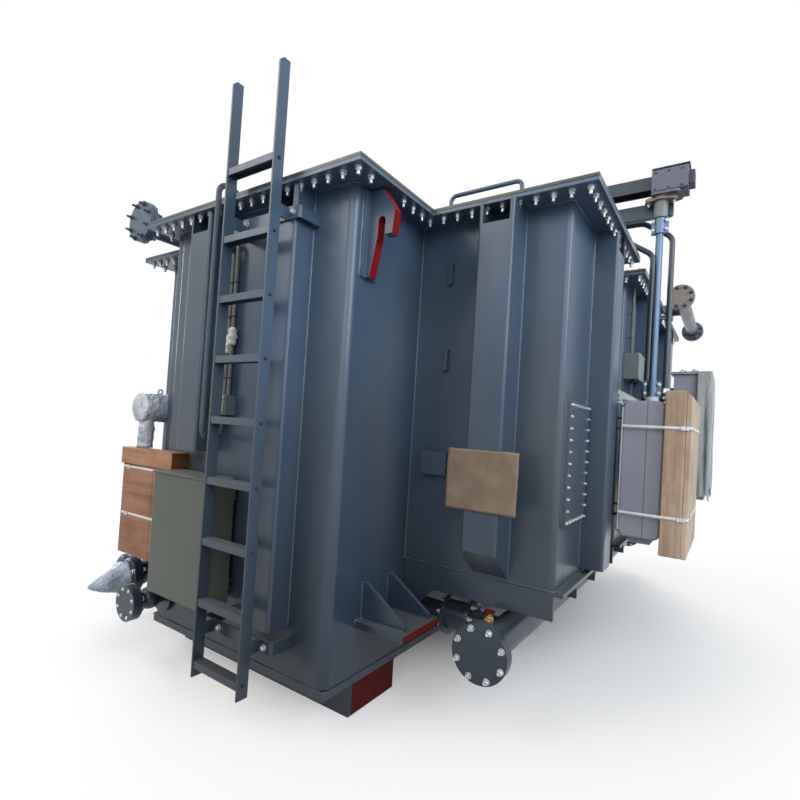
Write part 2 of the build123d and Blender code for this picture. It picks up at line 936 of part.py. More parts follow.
def drive_ear():
    """A three-holed gusset plate that fixes the drive cabinet's top corner to its upper carrier."""
    plate = Polyline(
        (-ear_back, ear_rise),
        (-ear_back, 0),
        (drive_plate_t, -ear_drop),
        (ear_reach, 0),
        close=True,
    )
    ear = extrude(make_face(Plane.XZ * plate), ear_t)
    for x, z in ((-ear_back / 2, ear_rise / 3), (0, 0), (-ear_back / 2, 0)):
        ear -= cylinder_y(x, z, -ear_t, 0, ear_hole_dia)
    return Pos(drive_back, drive_y0 + ear_inset, z_drive_top) * ear


def drive_cabinet():
    """The motor drive's deep-drawn cabinet and door, with the lower seat of the drive shaft."""
    x_front = drive_back + drive_depth
    body = block(drive_back, x_front, drive_y0, drive_y1, z_drive, z_drive_top)
    body = fillet(body.edges().filter_by(Axis.Y), drive_edge_r)
    sides = body.faces().sort_by(Axis.Y)
    body = fillet(sides[0].edges() + sides[-1].edges(), drive_lid_r)
    x_gap = x_front - drive_door
    deep = door_gap_depth
    gap = block(x_gap, x_gap + door_gap, drive_y0, drive_y1, z_drive, z_drive_top)
    body -= gap - block(x_gap, x_front, drive_y0 + deep, drive_y1 - deep, z_drive + deep, z_drive_top - deep)
    out = drive_plate_out
    plate_low = z_drive + drive_edge_r
    plate_high = z_drive_top - drive_edge_r
    x_plate = drive_back + drive_plate_t
    body += block(drive_back, x_plate, drive_y0 - out, drive_y1 + out, plate_low, plate_high)
    inset = drive_gland_inset
    gland = rectangle(drive_back + inset, x_front - inset, drive_y0 + inset, drive_y1 - inset)
    body += slab(gland, z_drive - drive_gland_t, z_drive)
    ear = drive_ear()
    body += ear
    body += Pos(0, drive_width - 2 * ear_inset + ear_t, 0) * ear
    z_seat = z_drive_top + shaft_seat_height
    body += cylinder_z(shaft_x, shaft_y, z_drive_top - drive_edge_r, z_seat, shaft_seat_dia)
    z_bore = z_seat - shaft_pin_depth - shaft_end_gap
    return body - cylinder_z(shaft_x, shaft_y, z_bore, z_seat, shaft_pin_dia + 2 * shaft_fit)


def drive_carrier(level):
    """A U-shaped carrier from the first wing's side wall to the drive cabinet."""
    y1 = wing_rear - wing_corner_r
    y0 = y1 - carrier_width
    z1 = level + carrier_height
    t = carrier_t
    carrier = block(x_right, drive_back, y0, y1, level, z1)
    return carrier - block(x_right + t, drive_back - t, y0, y1, level + t, z1 - t)


def drive_guard_board():
    """The wooden guard strapped over the drive cabinet's door."""
    x0 = drive_back + drive_depth
    y0 = drive_y0 - guard_board_side
    y1 = drive_y1 + guard_board_side
    z0 = z_drive - guard_board_under
    board = block(x0, x0 + guard_board_t, y0, y1, z0, z_drive_top + guard_board_over)
    outer_top = board.edges().filter_by(Axis.Y).group_by(Axis.Z)[-1].sort_by(Axis.X)[-1]
    return chamfer(outer_top, guard_board_chamfer)


def drive_shaft():
    """The vertical drive tube with a clamp coupling at each end and a pin in each seat."""
    z_low = z_drive_top + shaft_seat_height + shaft_end_gap
    z_high = z_neck - shaft_end_gap
    shaft = cylinder_z(shaft_x, shaft_y, z_low, z_high, shaft_tube_dia)
    for z in (z_low, z_high - coupling_height):
        shaft += cylinder_z(shaft_x, shaft_y, z, z + coupling_height, coupling_dia)
        shaft += Pos(shaft_x, shaft_y, z + coupling_height / 2) * Box(clamp_width, clamp_t, coupling_height)
    pin = shaft_pin_depth
    return shaft + cylinder_z(shaft_x, shaft_y, z_low - pin, z_high + pin, shaft_pin_dia)


def bevel_gearbox():
    """The bevel gearbox on its arm, with the neck that takes the drive shaft's upper pin."""
    x0 = shaft_x - gear_back
    x1 = x0 + gear_width
    y0 = shaft_y - gear_depth / 2
    y1 = shaft_y + gear_depth / 2
    z1 = z_gear + gear_height - gear_roof_t
    cap = gear_cap
    body = block(x0, x1, y0, y1, z_gear, z1)
    body = fillet(body.edges().filter_by(Axis.X), gear_edge_r)
    body += block(x1, x1 + cap, y0 + cap, y1 - cap, z_gear + cap, z1 - cap)
    over = gear_roof_over
    body += block(x0, x1 + over, y0 - over, y1 + over, z1, z1 + gear_roof_t)
    foot = rectangle(x0, x1 - cap, y0, y1)
    body += slab(fillet(foot.vertices().group_by(Axis.X)[-1], gear_plate_r), z_arm, z_gear)
    body += cylinder_z(shaft_x, shaft_y, z_neck, z_arm, gear_neck_dia)
    z_bore = z_neck + shaft_pin_depth + shaft_end_gap
    return body - cylinder_z(shaft_x, shaft_y, z_neck, z_bore, shaft_pin_dia + 2 * shaft_fit)


def gearbox_arm():
    """The arm that carries the gearbox past the lid's edge, on a post with a foot plate."""
    y0 = shaft_y + gear_depth / 2 - arm_seat
    y1 = y0 + arm_t
    x1 = shaft_x + arm_past_shaft
    x0 = x1 - arm_length
    x_post = x0 + post_width
    out = post_foot_out
    arm = block(x0, x1, y0, y1, z_arm - arm_height, z_arm)
    arm = fillet(arm.edges().filter_by(Axis.Y), arm_edge_r)
    arm += block(x0 + arm_edge_r, x_post, y0, y1, z_lid_top, z_arm - arm_height)
    return arm + block(x0 - out, x_post + out, y0 - post_width, y1, z_lid_top, z_lid_top + post_foot_t)


head_x = half_w - head_from_edge
head_y = shaft_y
z_guard = z_gear + (gear_height - tube_guard_height) / 2


def tap_changer_head():
    """The tap changer's flanged head with its domed cover and gear housing."""
    radius = head_dia / 2
    z_wall = z_lid_top + head_height
    rim = radius + head_flange_out
    z_rim = z_wall + head_flange_t
    top = (0, z_rim + head_dome)
    half_profile = Polyline(
        top,
        (0, z_lid_top),
        (rim, z_lid_top),
        (rim, z_lid_top + head_flange_t),
        (radius, z_lid_top + head_flange_t),
        (radius, z_wall),
        (rim, z_wall),
        (rim, z_rim),
        (radius, z_rim),
    )
    half_profile += TangentArc(top, (radius, z_rim), tangent=(1, 0))
    head = revolve(make_face(Plane.XZ * half_profile), Axis.Z)
    half = head_gear_width / 2
    z_gear_top = z_guard + tube_guard_height + tube_guard_t
    gear = block(-half, half, -half, half, z_rim, z_gear_top)
    return Pos(head_x, head_y, 0) * (head + gear)


def shaft_guard():
    """The channel guard over the horizontal shaft, from the head to the gearbox."""
    x0 = head_x + head_gear_width / 2
    x1 = shaft_x - gear_back
    y0 = shaft_y - tube_guard_width / 2
    y1 = shaft_y + tube_guard_width / 2
    z1 = z_guard + tube_guard_height
    guard = block(x0, x1, y0, y1, z_guard, z1)
    t = tube_guard_t
    return guard - block(x0, x1, y0 + t, y1 - t, z_guard, z1 - t)


def bushing_cover(x, y, dia):
    """A low round turret on a wing's lid, its bushing opening closed by a bolted cover."""
    z_wall = z_lid_top + bushing_wall_height
    turret = cylinder_z(x, y, z_lid_top, z_wall, dia)
    return turret + cylinder_z(x, y, z_wall, z_wall + bushing_flange_t, dia + 2 * bushing_flange_out)


def oil_pipe(out, lift, root, y):
    """A pipe from the lid, over its edge and down to a valve standing on the drive cabinet."""
    x_down = x_right + out
    z_run = z_lid_top + lift
    z_valve = z_drive_top + oil_valve_height
    points = [
        (root, y, z_lid_top),
        (root, y, z_run),
        (x_down - oil_slope_run, y, z_run),
        (x_down, y, z_run - oil_slope_drop),
        (x_down, y, z_valve),
    ]
    pipe = bent_tube(points, oil_bend_r, oil_dia)
    return pipe + cylinder_z(x_down, y, z_drive_top, z_valve, oil_valve_dia)


def wing_terminal_box():
    """A terminal box on the second right wing's side wall."""
    y0 = right_wing_span(1)[0] + wing_box_inset
    z0 = z_tank + wing_box_level
    box = block(x_right, x_right + wing_box_depth, y0, y0 + wing_box_width, z0, z0 + wing_box_height)
    return fillet(box.edges().filter_by(Axis.X), cabinet_edge_r)


marshal_back = x_right + marshal_standoff
marshal_y = right_wing_span(1)[0] + marshal_inset
z_marshal = z_tank + marshal_level


def marshalling_cabinet():
    """The second cabinet on the right side, with an overhanging roof."""
    x1 = marshal_back + marshal_depth
    y1 = marshal_y + marshal_width
    z1 = z_marshal + marshal_height - marshal_roof_t
    body = block(marshal_back, x1, marshal_y, y1, z_marshal, z1)
    x_gap = x1 - door_t - door_gap
    deep = door_gap_depth
    gap = block(x_gap, x_gap + door_gap, marshal_y, y1, z_marshal, z1)
    body -= gap - block(x_gap, x1, marshal_y + deep, y1 - deep, z_marshal + deep, z1)
    over = marshal_roof_over
    return body + block(marshal_back - over, x1 + over, marshal_y - over, y1 + over, z1, z1 + marshal_roof_t)


def marshalling_arm(z_centre):
    """A square arm between the wing's side wall and the second cabinet."""
    half = marshal_arm_height / 2
    y1 = marshal_y + marshal_width - marshal_arm_back
    return block(x_right, marshal_back, y1 - marshal_arm_t, y1, z_centre - half, z_centre + half)


os.makedirs("parts", exist_ok=True)

# Tank, base and lid
first_beam = front + beam_setback + beam_width / 2
write("base_beam_front", base_beam(first_beam))
write("base_beam_middle", base_beam(0))
write("base_beam_rear", base_beam(-first_beam))
write("bottom_plate", block(-half_w, half_w, front, rear, beam_height, z_tank))
write("tank_core", tank_core())
for number in range(wing_count):
    write(f"right_wing_{number + 1}", wing(1, right_wing_span(number), right_wing_depth))
    write(f"left_wing_{number + 1}", wing(-1, left_wing_span(number), left_wing_depth))
write("right_wing_skirts", *[skirt(1, right_wing_span(n), right_wing_depth) for n in range(wing_count)])
write("left_wing_skirts", *[skirt(-1, left_wing_span(n), left_wing_depth) for n in range(wing_count)])
write("top_flange", top_flange())
write("lid", lid())

# Stiffeners
front_pair = [
    Pos(front_stiff_left - half_w, front, 0) * stiffener(stiff_width, stiff_depth, front_left_stiff_foot),
    Pos(front_stiff_right - half_w, front, 0) * stiffener(stiff_width, stiff_depth, front_right_stiff_foot),
]
rear_stiff = stiffener(stiff_width, stiff_depth, front_right_stiff_foot)
rear_stiff = Rot(0, 0, 180) * rear_stiff
rear_pair = [Pos(at - half_w, rear, 0) * rear_stiff for at in (front_stiff_left, front_stiff_right)]
write("front_stiffeners", *front_pair)
write("rear_stiffeners", *rear_pair)
wing_stiff = Pos(wing_stiff_x, wing_front, 0)
wing_stiff *= stiffener(stiff_width, wing_stiff_depth, wing_stiff_foot, wing_stiff_slope)
side_stiff = stiffener(stiff_width, stiff_depth, side_stiff_foot)
right_sides = [on_right(side_stiff, right_wing_span(n)[0] + side_stiff_inset) for n in range(wing_count)]
write("right_wing_stiffeners", *both_ends(wing_stiff), *right_sides)
left_sides = []
for number in range(wing_count):
    y_mid = sum(left_wing_span(number)) / 2
    left_sides.append(Pos(x_left, y_mid, 0) * Rot(0, 0, -90) * side_stiff)
corner_stiff = stiffener(corner_stiff_width, corner_stiff_depth, corner_stiff_foot)
corner_stiff = Pos(-half_w, front + corner_stiff_inset, 0) * Rot(0, 0, -90) * corner_stiff
write("left_wing_stiffeners", *left_sides, *both_ends(corner_stiff))

# Lugs, pads, ladder and handles
right_lug = lifting_lug(lug_inset, half_w, 1)
left_lug = lifting_lug(lug_left_inset, -half_w, -1)
write("lifting_lugs", *both_ends(right_lug), *both_ends(left_lug))
write("jacking_pads", *both_ends(jacking_pad(1)), *both_ends(jacking_pad(-1)))
write("ladder_stringers", ladder_stringer(-1), ladder_stringer(1))
write("ladder_rungs", *[ladder_rung(n) for n in range(rung_count)])
write("ladder_brackets", ladder_bracket(bracket_high), ladder_bracket(bracket_low))
right_handle = lid_handle((half_w + x_right) / 2, wing_front - lid_overhang)
left_handle = lid_handle(-half_w - left_handle_out, left_wing_span(0)[0] - lid_overhang)
write("lid_handles", *both_ends(right_handle), *both_ends(left_handle))

# Front wall and first right wing
write("side_cover_plate", side_cover())
write("rating_board", rating_board())
write("rating_plate_bracket", plate_bracket())
write("cable_clips", cable_clip(clip_low), cable_clip(clip_high))
write("front_terminal_box", front_terminal_box())
write("wall_conduits", wall_conduit(conduit_spread, conduit_low_top), wall_conduit(0, conduit_high_top))
write("arched_conduit", arched_conduit())
write("front_cabinet", front_cabinet())
rail_levels = (z_tank + cabinet_level + rail_inset, z_tank + cabinet_level + cabinet_height - rail_inset)
write("front_cabinet_rails", *[cabinet_rail(z) for z in rail_levels])
write("front_crate", front_crate())

# Pipes and valves
write("right_lower_header", right_lower_header())
write("left_lower_header", left_lower_header())
write("left_upper_header", left_upper_header())
write("right_upper_header", right_upper_header())
write("drain_valve", drain_valve())
write("wrapped_valve", wrapped_valve())

# Tap-changer drive
write("drive_cabinet", drive_cabinet())
carrier_levels = (z_drive + carrier_inset, z_drive_top - carrier_inset - carrier_height)
write("drive_carriers", *[drive_carrier(z) for z in carrier_levels])
write("drive_guard_board", drive_guard_board())
write("drive_shaft", drive_shaft())
write("bevel_gearbox", bevel_gearbox())
write("gearbox_arm", gearbox_arm())
write("tap_changer_head", tap_changer_head())
covers = []
x_cover = x_right - right_high_root - dn80[1] / 2 - bushing_gap - right_bushing_dia / 2 - bushing_flange_out
for number in range(wing_count):
    y_right = sum(right_wing_span(number)) / 2
    y_left = sum(left_wing_span(number)) / 2
    covers.append(bushing_cover(x_cover, y_right, right_bushing_dia))
    covers.append(bushing_cover(-half_w - left_bushing_out, y_left, left_bushing_dia))
write("bushing_covers", *covers)
write("shaft_guard", shaft_guard())
oil_y = wing_rear + lid_overhang + oil_row
oil_root = head_x + head_dia / 2 + head_flange_out + oil_root_gap
near_pipe = oil_pipe(oil_near_out, oil_near_lift, oil_root + oil_root_step, oil_y)
far_pipe = oil_pipe(oil_far_out, oil_far_lift, oil_root, oil_y + oil_row_step)
write("oil_pipes", near_pipe, far_pipe)
write("wing_terminal_box", wing_terminal_box())
write("marshalling_cabinet", marshalling_cabinet())
arm_levels = (z_marshal + marshal_arm_inset, z_marshal + marshal_height - marshal_arm_inset)
write("marshalling_arms", *[marshalling_arm(z) for z in arm_levels])
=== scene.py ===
# %% [markdown]
# A power transformer tank, ready to leave the works: a stepped steel tank with a bolted lid,
# box stiffeners, a ladder, blanked pipes and the drive of its tap changer.
# The solids come in as a fixed frame. This lesson adds what the eye expects on top of them:
# paint, welds, some hundreds of bolts, wood, straps, film and small fittings.

# %% Load the frame
import math

import bmesh
import bpy
from mathutils import Matrix, Vector, noise


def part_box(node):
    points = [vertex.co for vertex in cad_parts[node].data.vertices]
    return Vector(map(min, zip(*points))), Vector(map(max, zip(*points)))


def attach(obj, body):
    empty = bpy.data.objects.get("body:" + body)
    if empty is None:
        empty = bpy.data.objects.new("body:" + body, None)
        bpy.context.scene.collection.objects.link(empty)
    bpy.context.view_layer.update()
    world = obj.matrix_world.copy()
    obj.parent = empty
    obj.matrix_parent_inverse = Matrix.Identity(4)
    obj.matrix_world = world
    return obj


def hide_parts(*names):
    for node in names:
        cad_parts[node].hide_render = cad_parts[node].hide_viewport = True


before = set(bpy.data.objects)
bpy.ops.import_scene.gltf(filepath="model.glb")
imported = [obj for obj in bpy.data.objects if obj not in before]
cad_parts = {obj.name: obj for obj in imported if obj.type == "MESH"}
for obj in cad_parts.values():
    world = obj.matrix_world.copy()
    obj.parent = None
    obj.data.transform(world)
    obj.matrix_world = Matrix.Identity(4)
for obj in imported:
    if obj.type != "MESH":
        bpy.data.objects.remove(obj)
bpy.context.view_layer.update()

# %% [markdown]
# The camera stands where the photographer stood, a few steps off the front right corner, at eye height.
# A camera can be placed by hand with rotation angles, but a matrix made from its three directions
# keeps the heading, the slight upward look and the roll apart, so each can be corrected by itself.

# %% Camera
EYE = Vector((2.2115, -4.1815, 1.448))
HEADING = math.radians(33.976)
LOOK_UP = math.radians(1.462)
ROLL = math.radians(3.525)
LENS_MM = 22.04
SENSOR_MM = 36.0
SHIFT_X, SHIFT_Y = -0.0027, 0.0192
FAR_CLIP = 200.0

level_right = Vector((math.cos(HEADING), math.sin(HEADING), 0.0))
level_forward = Vector((-math.sin(HEADING), math.cos(HEADING), 0.0))
forward = math.cos(LOOK_UP) * level_forward + Vector((0.0, 0.0, math.sin(LOOK_UP)))
level_up = level_right.cross(forward)
right = math.cos(ROLL) * level_right + math.sin(ROLL) * level_up
up = math.cos(ROLL) * level_up - math.sin(ROLL) * level_right

lens = bpy.data.cameras.new("works_camera")
lens.sensor_width = SENSOR_MM
lens.lens = LENS_MM
lens.shift_x = SHIFT_X
lens.shift_y = SHIFT_Y
lens.clip_end = FAR_CLIP
camera = bpy.data.objects.new("works_camera", lens)
camera.matrix_world = Matrix.Translation(EYE) @ Matrix((right, up, -forward)).transposed().to_4x4()
bpy.context.scene.collection.objects.link(camera)
bpy.context.scene.camera = camera
print("camera at", tuple(EYE), "heading", round(math.degrees(HEADING), 1))

# %% [markdown]
# Every finish below is a small tree of nodes. One helper adds a node, sets its options and fills its inputs,
# either with a plain value or with a link from another node, so that a tree reads as a list of steps.

# %% Node helpers
def srgb(red, green, blue):
    """A colour as it is seen on screen, from 0 to 255, turned into the linear values that shaders take."""
    def linear(value):
        value /= 255.0
        return value / 12.92 if value <= 0.04045 else ((value + 0.055) / 1.055) ** 2.4
    return linear(red), linear(green), linear(blue), 1.0


def shaded(colour, share):
    """A colour made darker or lighter."""
    return tuple(min(1.0, channel * share) for channel in colour[:3]) + (1.0,)


def node(tree, kind, inputs=None, **options):
    """Add a node; an input given as a socket is linked, any other value is set."""
    made = tree.nodes.new(kind)
    for name, value in options.items():
        setattr(made, name, value)
    for name, value in (inputs or {}).items():
        socket = made.inputs[name]
        if isinstance(value, bpy.types.NodeSocket):
            tree.links.new(value, socket)
        else:
            socket.default_value = value
    return made


def mixed(tree, factor, first, second):
    """The colour between two colours."""
    return node(tree, "ShaderNodeMix", {0: factor, 6: first, 7: second}, data_type="RGBA").outputs[2]


def spread(tree, value, low, high, out_low=0.0, out_high=1.0):
    """Stretch the part of a value between low and high over a new range, and clamp it there."""
    inputs = {"Value": value, "From Min": low, "From Max": high, "To Min": out_low, "To Max": out_high}
    return node(tree, "ShaderNodeMapRange", inputs).outputs["Result"]


def math_node(tree, operation, first, second):
    """One sum on two values."""
    return node(tree, "ShaderNodeMath", {0: first, 1: second}, operation=operation).outputs[0]


print("node helpers ready")

# %% [markdown]
# On top of these come the steps that most finishes share: noise that breaks up a flat tone, a height that tilts
# the surface for the light, edges rounded in shading, and the start and the end of a material's tree.
# Noise is read at the object's own coordinates, so it needs no unwrapped picture and stays put on its piece.

# %% Surface helpers
def noise_at(tree, place, scale, detail=4.0, roughness=0.55, stretch=(1.0, 1.0, 1.0)):
    """Noise on the object's own coordinates, squeezed along the axes by stretch."""
    placed = node(tree, "ShaderNodeMapping", {"Vector": place, "Scale": stretch}).outputs["Vector"]
    inputs = {"Vector": placed, "Scale": scale, "Detail": detail, "Roughness": roughness}
    return node(tree, "ShaderNodeTexNoise", inputs).outputs["Fac"]


def bumped(tree, height, strength, distance, normal=None):
    """A surface normal tilted by a height."""
    inputs = {"Height": height, "Strength": strength, "Distance": distance}
    if normal is not None:
        inputs["Normal"] = normal
    return node(tree, "ShaderNodeBump", inputs).outputs["Normal"]


def rounded_edges(tree, radius):
    """A surface normal that rounds sharp edges in shading alone."""
    return node(tree, "ShaderNodeBevel", {"Radius": radius}, samples=4).outputs["Normal"]


def height_of(tree, place):
    """How high a point lies above the ground."""
    return node(tree, "ShaderNodeSeparateXYZ", {"Vector": place}).outputs["Z"]


def facing_up(tree):
    """How far a point faces the sky, from -1 to 1."""
    normal = node(tree, "ShaderNodeNewGeometry").outputs["Normal"]
    return height_of(tree, normal)


def new_finish(name, **constants):
    """An empty material: its tree, its surface shader with constants set, and its coordinates."""
    material = bpy.data.materials.new(name)
    material.use_nodes = True
    tree = material.node_tree
    tree.nodes.clear()
    constants = {label.replace("_", " "): value for label, value in constants.items()}
    surface = node(tree, "ShaderNodeBsdfPrincipled", constants)
    node(tree, "ShaderNodeOutputMaterial", {"Surface": surface.outputs[0]})
    place = node(tree, "ShaderNodeTexCoord").outputs["Object"]
    return material, tree, surface, place


def wire(tree, surface, **sockets):
    """Link colour, roughness and other sources to the surface shader."""
    for name, source in sockets.items():
        tree.links.new(source, surface.inputs[name.replace("_", " ")])


print("surface helpers ready")

# %% [markdown]
# The tank wears one gloss paint, a dark slate blue. Gloss on plate is never even: the plate waves between
# its welds, rain and hands leave upright streaks, a dust film dulls the lower two thirds and dust settles on
# what faces up. The dust film's warm grey also paints in reflections, and it thins towards the top so that the
# top stays bluer, a painted reflection of the sky. Towards the ground the paint darkens with painted shade.
# A flat colour would look like plastic, so slow noise bends the reflection, stretched noise draws the
# streaks, and the height and the facing of each point decide how much dust, painted reflection and painted
# shade it carries.
# The Bevel node rounds each sharp edge in shading alone, so edges catch light as cut plate does.

# %% Tank paint
DUST = srgb(118, 117, 112)
HAZE_AND_REFLECTION = srgb(98, 98, 90)
RAIN = srgb(96, 108, 122)
TANK_TONE = srgb(61, 82, 106)
SKY_REFLECTION_FROM, SKY_REFLECTION_FULL = 1.5, 2.5
GROUND_SHADE_NONE, GROUND_SHADE_FULL = 1.9, 0.3
SEAM_HALF, SEAM_EDGE = 0.0022, 0.001


def tank_paint_finish(name, tone, dustiness=1.0, seam=None):
    """Gloss plate paint with streaks, a dust film that adds a painted reflection, painted shade near the ground,
    settled dust, and a dark line at the height of a seam.
    """
    finish, tree, surface, place = new_finish(name, Coat_Weight=0.12, Coat_Roughness=0.16, Specular_IOR_Level=0.36)
    clouds = noise_at(tree, place, 0.9, 3.0)
    streaks = noise_at(tree, place, 7.0, 5.0, 0.6, (1.0, 1.0, 0.05))
    grain = noise_at(tree, place, 60.0, 3.0)
    body = mixed(tree, spread(tree, clouds, 0.3, 0.7), shaded(tone, 0.78), shaded(tone, 1.22))
    height = height_of(tree, place)
    # Dust film whose warm grey is partly a painted reflection. It thins towards the top so that the top stays bluer, a
    # painted reflection of the sky.
    dust_and_reflection = spread(tree, noise_at(tree, place, 1.7, 2.0, 0.5, (1.0, 1.0, 0.35)), 0.42, 0.7, 0.12, 0.55)
    dust_and_reflection = math_node(tree, "MULTIPLY", dust_and_reflection, spread(tree, height, SKY_REFLECTION_FROM, SKY_REFLECTION_FULL, 1.0, 0.3))
    body = mixed(tree, dust_and_reflection, body, HAZE_AND_REFLECTION)
    body = mixed(tree, spread(tree, streaks, 0.55, 0.82, 0.0, 0.16), body, RAIN)
    # Painted shade: the paint darkens towards the ground, where the lower walls stand in shade.
    body = mixed(tree, spread(tree, height, GROUND_SHADE_NONE, GROUND_SHADE_FULL, 0.0, 0.88), body, shaded(tone, 0.2))
    settled = spread(tree, facing_up(tree), 0.75, 0.98, 0.0, 0.42 * dustiness)
    settled = math_node(tree, "MULTIPLY", settled, spread(tree, clouds, 0.35, 0.65, 0.3, 1.0))
    settled = math_node(tree, "MULTIPLY", settled, spread(tree, grain, 0.3, 0.7, 0.55, 1.0))
    colour = mixed(tree, settled, body, DUST)
    if seam is not None:
        off_seam = math_node(tree, "ABSOLUTE", math_node(tree, "SUBTRACT", height, seam), 0.0)
        beside = spread(tree, off_seam, SEAM_HALF, SEAM_HALF + SEAM_EDGE)
        colour = mixed(tree, beside, shaded(TANK_TONE, 0.15), colour)
    rough = math_node(tree, "ADD", spread(tree, streaks, 0.35, 0.75, 0.27, 0.42), settled)
    waves = noise_at(tree, place, 2.2, 2.0, 0.4, (1.0, 1.0, 0.5))
    wavy = bumped(tree, waves, 0.12, 0.05, rounded_edges(tree, 0.004))
    peel = noise_at(tree, place, 420.0, 2.0)
    wire(tree, surface, Base_Color=colour, Roughness=rough, Normal=bumped(tree, peel, 0.05, 0.002, wavy))
    return finish


LID_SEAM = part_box("lid")[0].z
tank_paint = tank_paint_finish("tank_paint", TANK_TONE)
# The weld beads take a lighter copy of the tank paint: a painted highlight.
bead_highlight_paint = tank_paint_finish("bead_highlight_paint", shaded(TANK_TONE, 1.4), 0.4)
lid_paint = tank_paint_finish("lid_paint", srgb(66, 74, 70), 0.8, LID_SEAM)
# The flange takes a lighter copy of the tank paint: a painted highlight on its lit edge.
flange_highlight_paint = tank_paint_finish("flange_highlight_paint", srgb(78, 98, 122), 0.6, LID_SEAM)
# Pipes, shaft guard and painted bolts take a darker copy of the tank paint: painted shade.
pipe_shade_paint = tank_paint_finish("pipe_shade_paint", srgb(50, 62, 76), 0.6)
print("tank paints:", tank_paint.name, bead_highlight_paint.name, lid_paint.name, flange_highlight_paint.name, pipe_shade_paint.name)

# %% [markdown]
# The cabinets are sheet steel with a satin powder coat: a finer skin than brushed gloss, without waves.
# The control cabinet at the front is grey-green, the motor drive and its gearbox are a cool lilac grey.
# One function makes them all, because only the tone and the size of the skin's grain differ.

# %% Cabinet coats
def powder_coat(name, tone, grain=700.0):
    """Satin sheet-steel coat with a fine skin, faint marks and dust on what faces up."""
    finish, tree, surface, place = new_finish(name, Specular_IOR_Level=0.4, Coat_Weight=0.08)
    clouds = noise_at(tree, place, 2.6, 4.0)
    marks = noise_at(tree, place, 26.0, 6.0, 0.7, (1.0, 1.0, 0.3))
    body = mixed(tree, spread(tree, clouds, 0.3, 0.7), shaded(tone, 0.88), shaded(tone, 1.1))
    body = mixed(tree, spread(tree, marks, 0.62, 0.8, 0.0, 0.35), body, shaded(tone, 0.6))
    body = mixed(tree, spread(tree, facing_up(tree), 0.7, 0.98, 0.0, 0.5), body, DUST)
    skin = noise_at(tree, place, grain, 2.0)
    normal = bumped(tree, skin, 0.12, 0.001, rounded_edges(tree, 0.003))
    wire(tree, surface, Base_Color=body, Roughness=spread(tree, clouds, 0.3, 0.7, 0.42, 0.6), Normal=normal)
    return finish


cabinet_green = powder_coat("cabinet_green", srgb(78, 84, 78))
drive_grey = powder_coat("drive_grey", srgb(140, 142, 158))
gear_grey = powder_coat("gear_grey", srgb(96, 100, 118), 240.0)
cap_navy = powder_coat("cap_navy", srgb(52, 62, 82), 240.0)
box_grey = powder_coat("box_grey", srgb(112, 122, 124))
ear_grey = powder_coat("ear_grey", srgb(186, 192, 198))
flange_tan = powder_coat("flange_tan", srgb(148, 130, 124), 300.0)
primer_tan = powder_coat("primer_tan", srgb(120, 110, 106), 200.0)
print("cabinet coats:", cabinet_green.name, drive_grey.name, gear_grey.name)

# %% [markdown]
# Bare metal comes in three kinds here. Bolts are zinc plated, which is a dull mirror with pale crystals.
# The drive shaft is a drawn alloy tube, brushed along its length. The purge valve is brass.
# All are full metal, so the colour sits in the reflection, and noise moves the roughness.

# %% Bare metals
def bare_metal(name, tone, rough_low, rough_high, stretch=(1.0, 1.0, 1.0), scale=90.0):
    """A metal whose polish changes over the surface; stretch draws the noise out along a brushing direction."""
    finish, tree, surface, place = new_finish(name, Metallic=1.0)
    blotches = noise_at(tree, place, scale, 4.0, 0.6, stretch)
    patches = noise_at(tree, place, scale * 0.2, 3.0)
    colour = mixed(tree, spread(tree, blotches, 0.3, 0.7), shaded(tone, 0.72), shaded(tone, 1.12))
    colour = mixed(tree, spread(tree, patches, 0.55, 0.8, 0.0, 0.4), colour, shaded(tone, 0.5))
    normal = bumped(tree, blotches, 0.1, 0.001, rounded_edges(tree, 0.0012))
    wire(tree, surface, Base_Color=colour, Roughness=spread(tree, blotches, 0.3, 0.7, rough_low, rough_high),
         Normal=normal)
    return finish


zinc = bare_metal("zinc", srgb(190, 196, 202), 0.34, 0.55)
shaft_alloy = bare_metal("shaft_alloy", srgb(98, 116, 140), 0.42, 0.6, (6.0, 6.0, 0.1), 60.0)
brass = bare_metal("brass", srgb(168, 142, 96), 0.34, 0.55)
print("metals:", zinc.name, shaft_alloy.name, brass.name)

# %% [markdown]
# Packing wood: the crate is rough plywood, orange brown, and the guard on the drive cabinet is pale pine.
# Wood is noise stretched along its fibres and bent by slower noise, so that lines run together and part.
# Each board takes its fibres along one axis, which is why the function asks for it. The card over the rating
# board is paper on ribs, and a wave under soft blotches shows them.

# %% Wood and card
FIBRE_STRETCH = 0.05


def sawn_wood(name, early, late, along, rings=34.0):
    """Wood with fibres along an axis, late-wood lines, pores and grey weathering."""
    finish, tree, surface, place = new_finish(name, Specular_IOR_Level=0.25)
    stretch = [1.0, 1.0, 1.0]
    stretch["XYZ".index(along)] = FIBRE_STRETCH
    sway = noise_at(tree, place, 3.0, 2.0, 0.5, tuple(0.4 + 0.6 * s for s in stretch))
    lines = noise_at(tree, place, rings, 5.0, 0.65, tuple(stretch))
    lines = math_node(tree, "ADD", lines, math_node(tree, "MULTIPLY", sway, 0.5))
    fibres = noise_at(tree, place, rings * 9.0, 3.0, 0.7, tuple(stretch))
    colour = mixed(tree, spread(tree, lines, 0.58, 0.92), early, late)
    colour = mixed(tree, spread(tree, fibres, 0.5, 0.8, 0.0, 0.4), colour, shaded(late, 0.6))
    stains = noise_at(tree, place, 5.0, 5.0, 0.65)
    colour = mixed(tree, spread(tree, stains, 0.5, 0.72, 0.0, 0.5), colour, shaded(late, 0.7))
    colour = mixed(tree, spread(tree, stains, 0.5, 0.3, 0.0, 0.4), colour, shaded(early, 1.2))
    normal = bumped(tree, fibres, 0.35, 0.0015, rounded_edges(tree, 0.002))
    wire(tree, surface, Base_Color=colour, Roughness=spread(tree, lines, 0.5, 1.0, 0.62, 0.85), Normal=normal)
    return finish


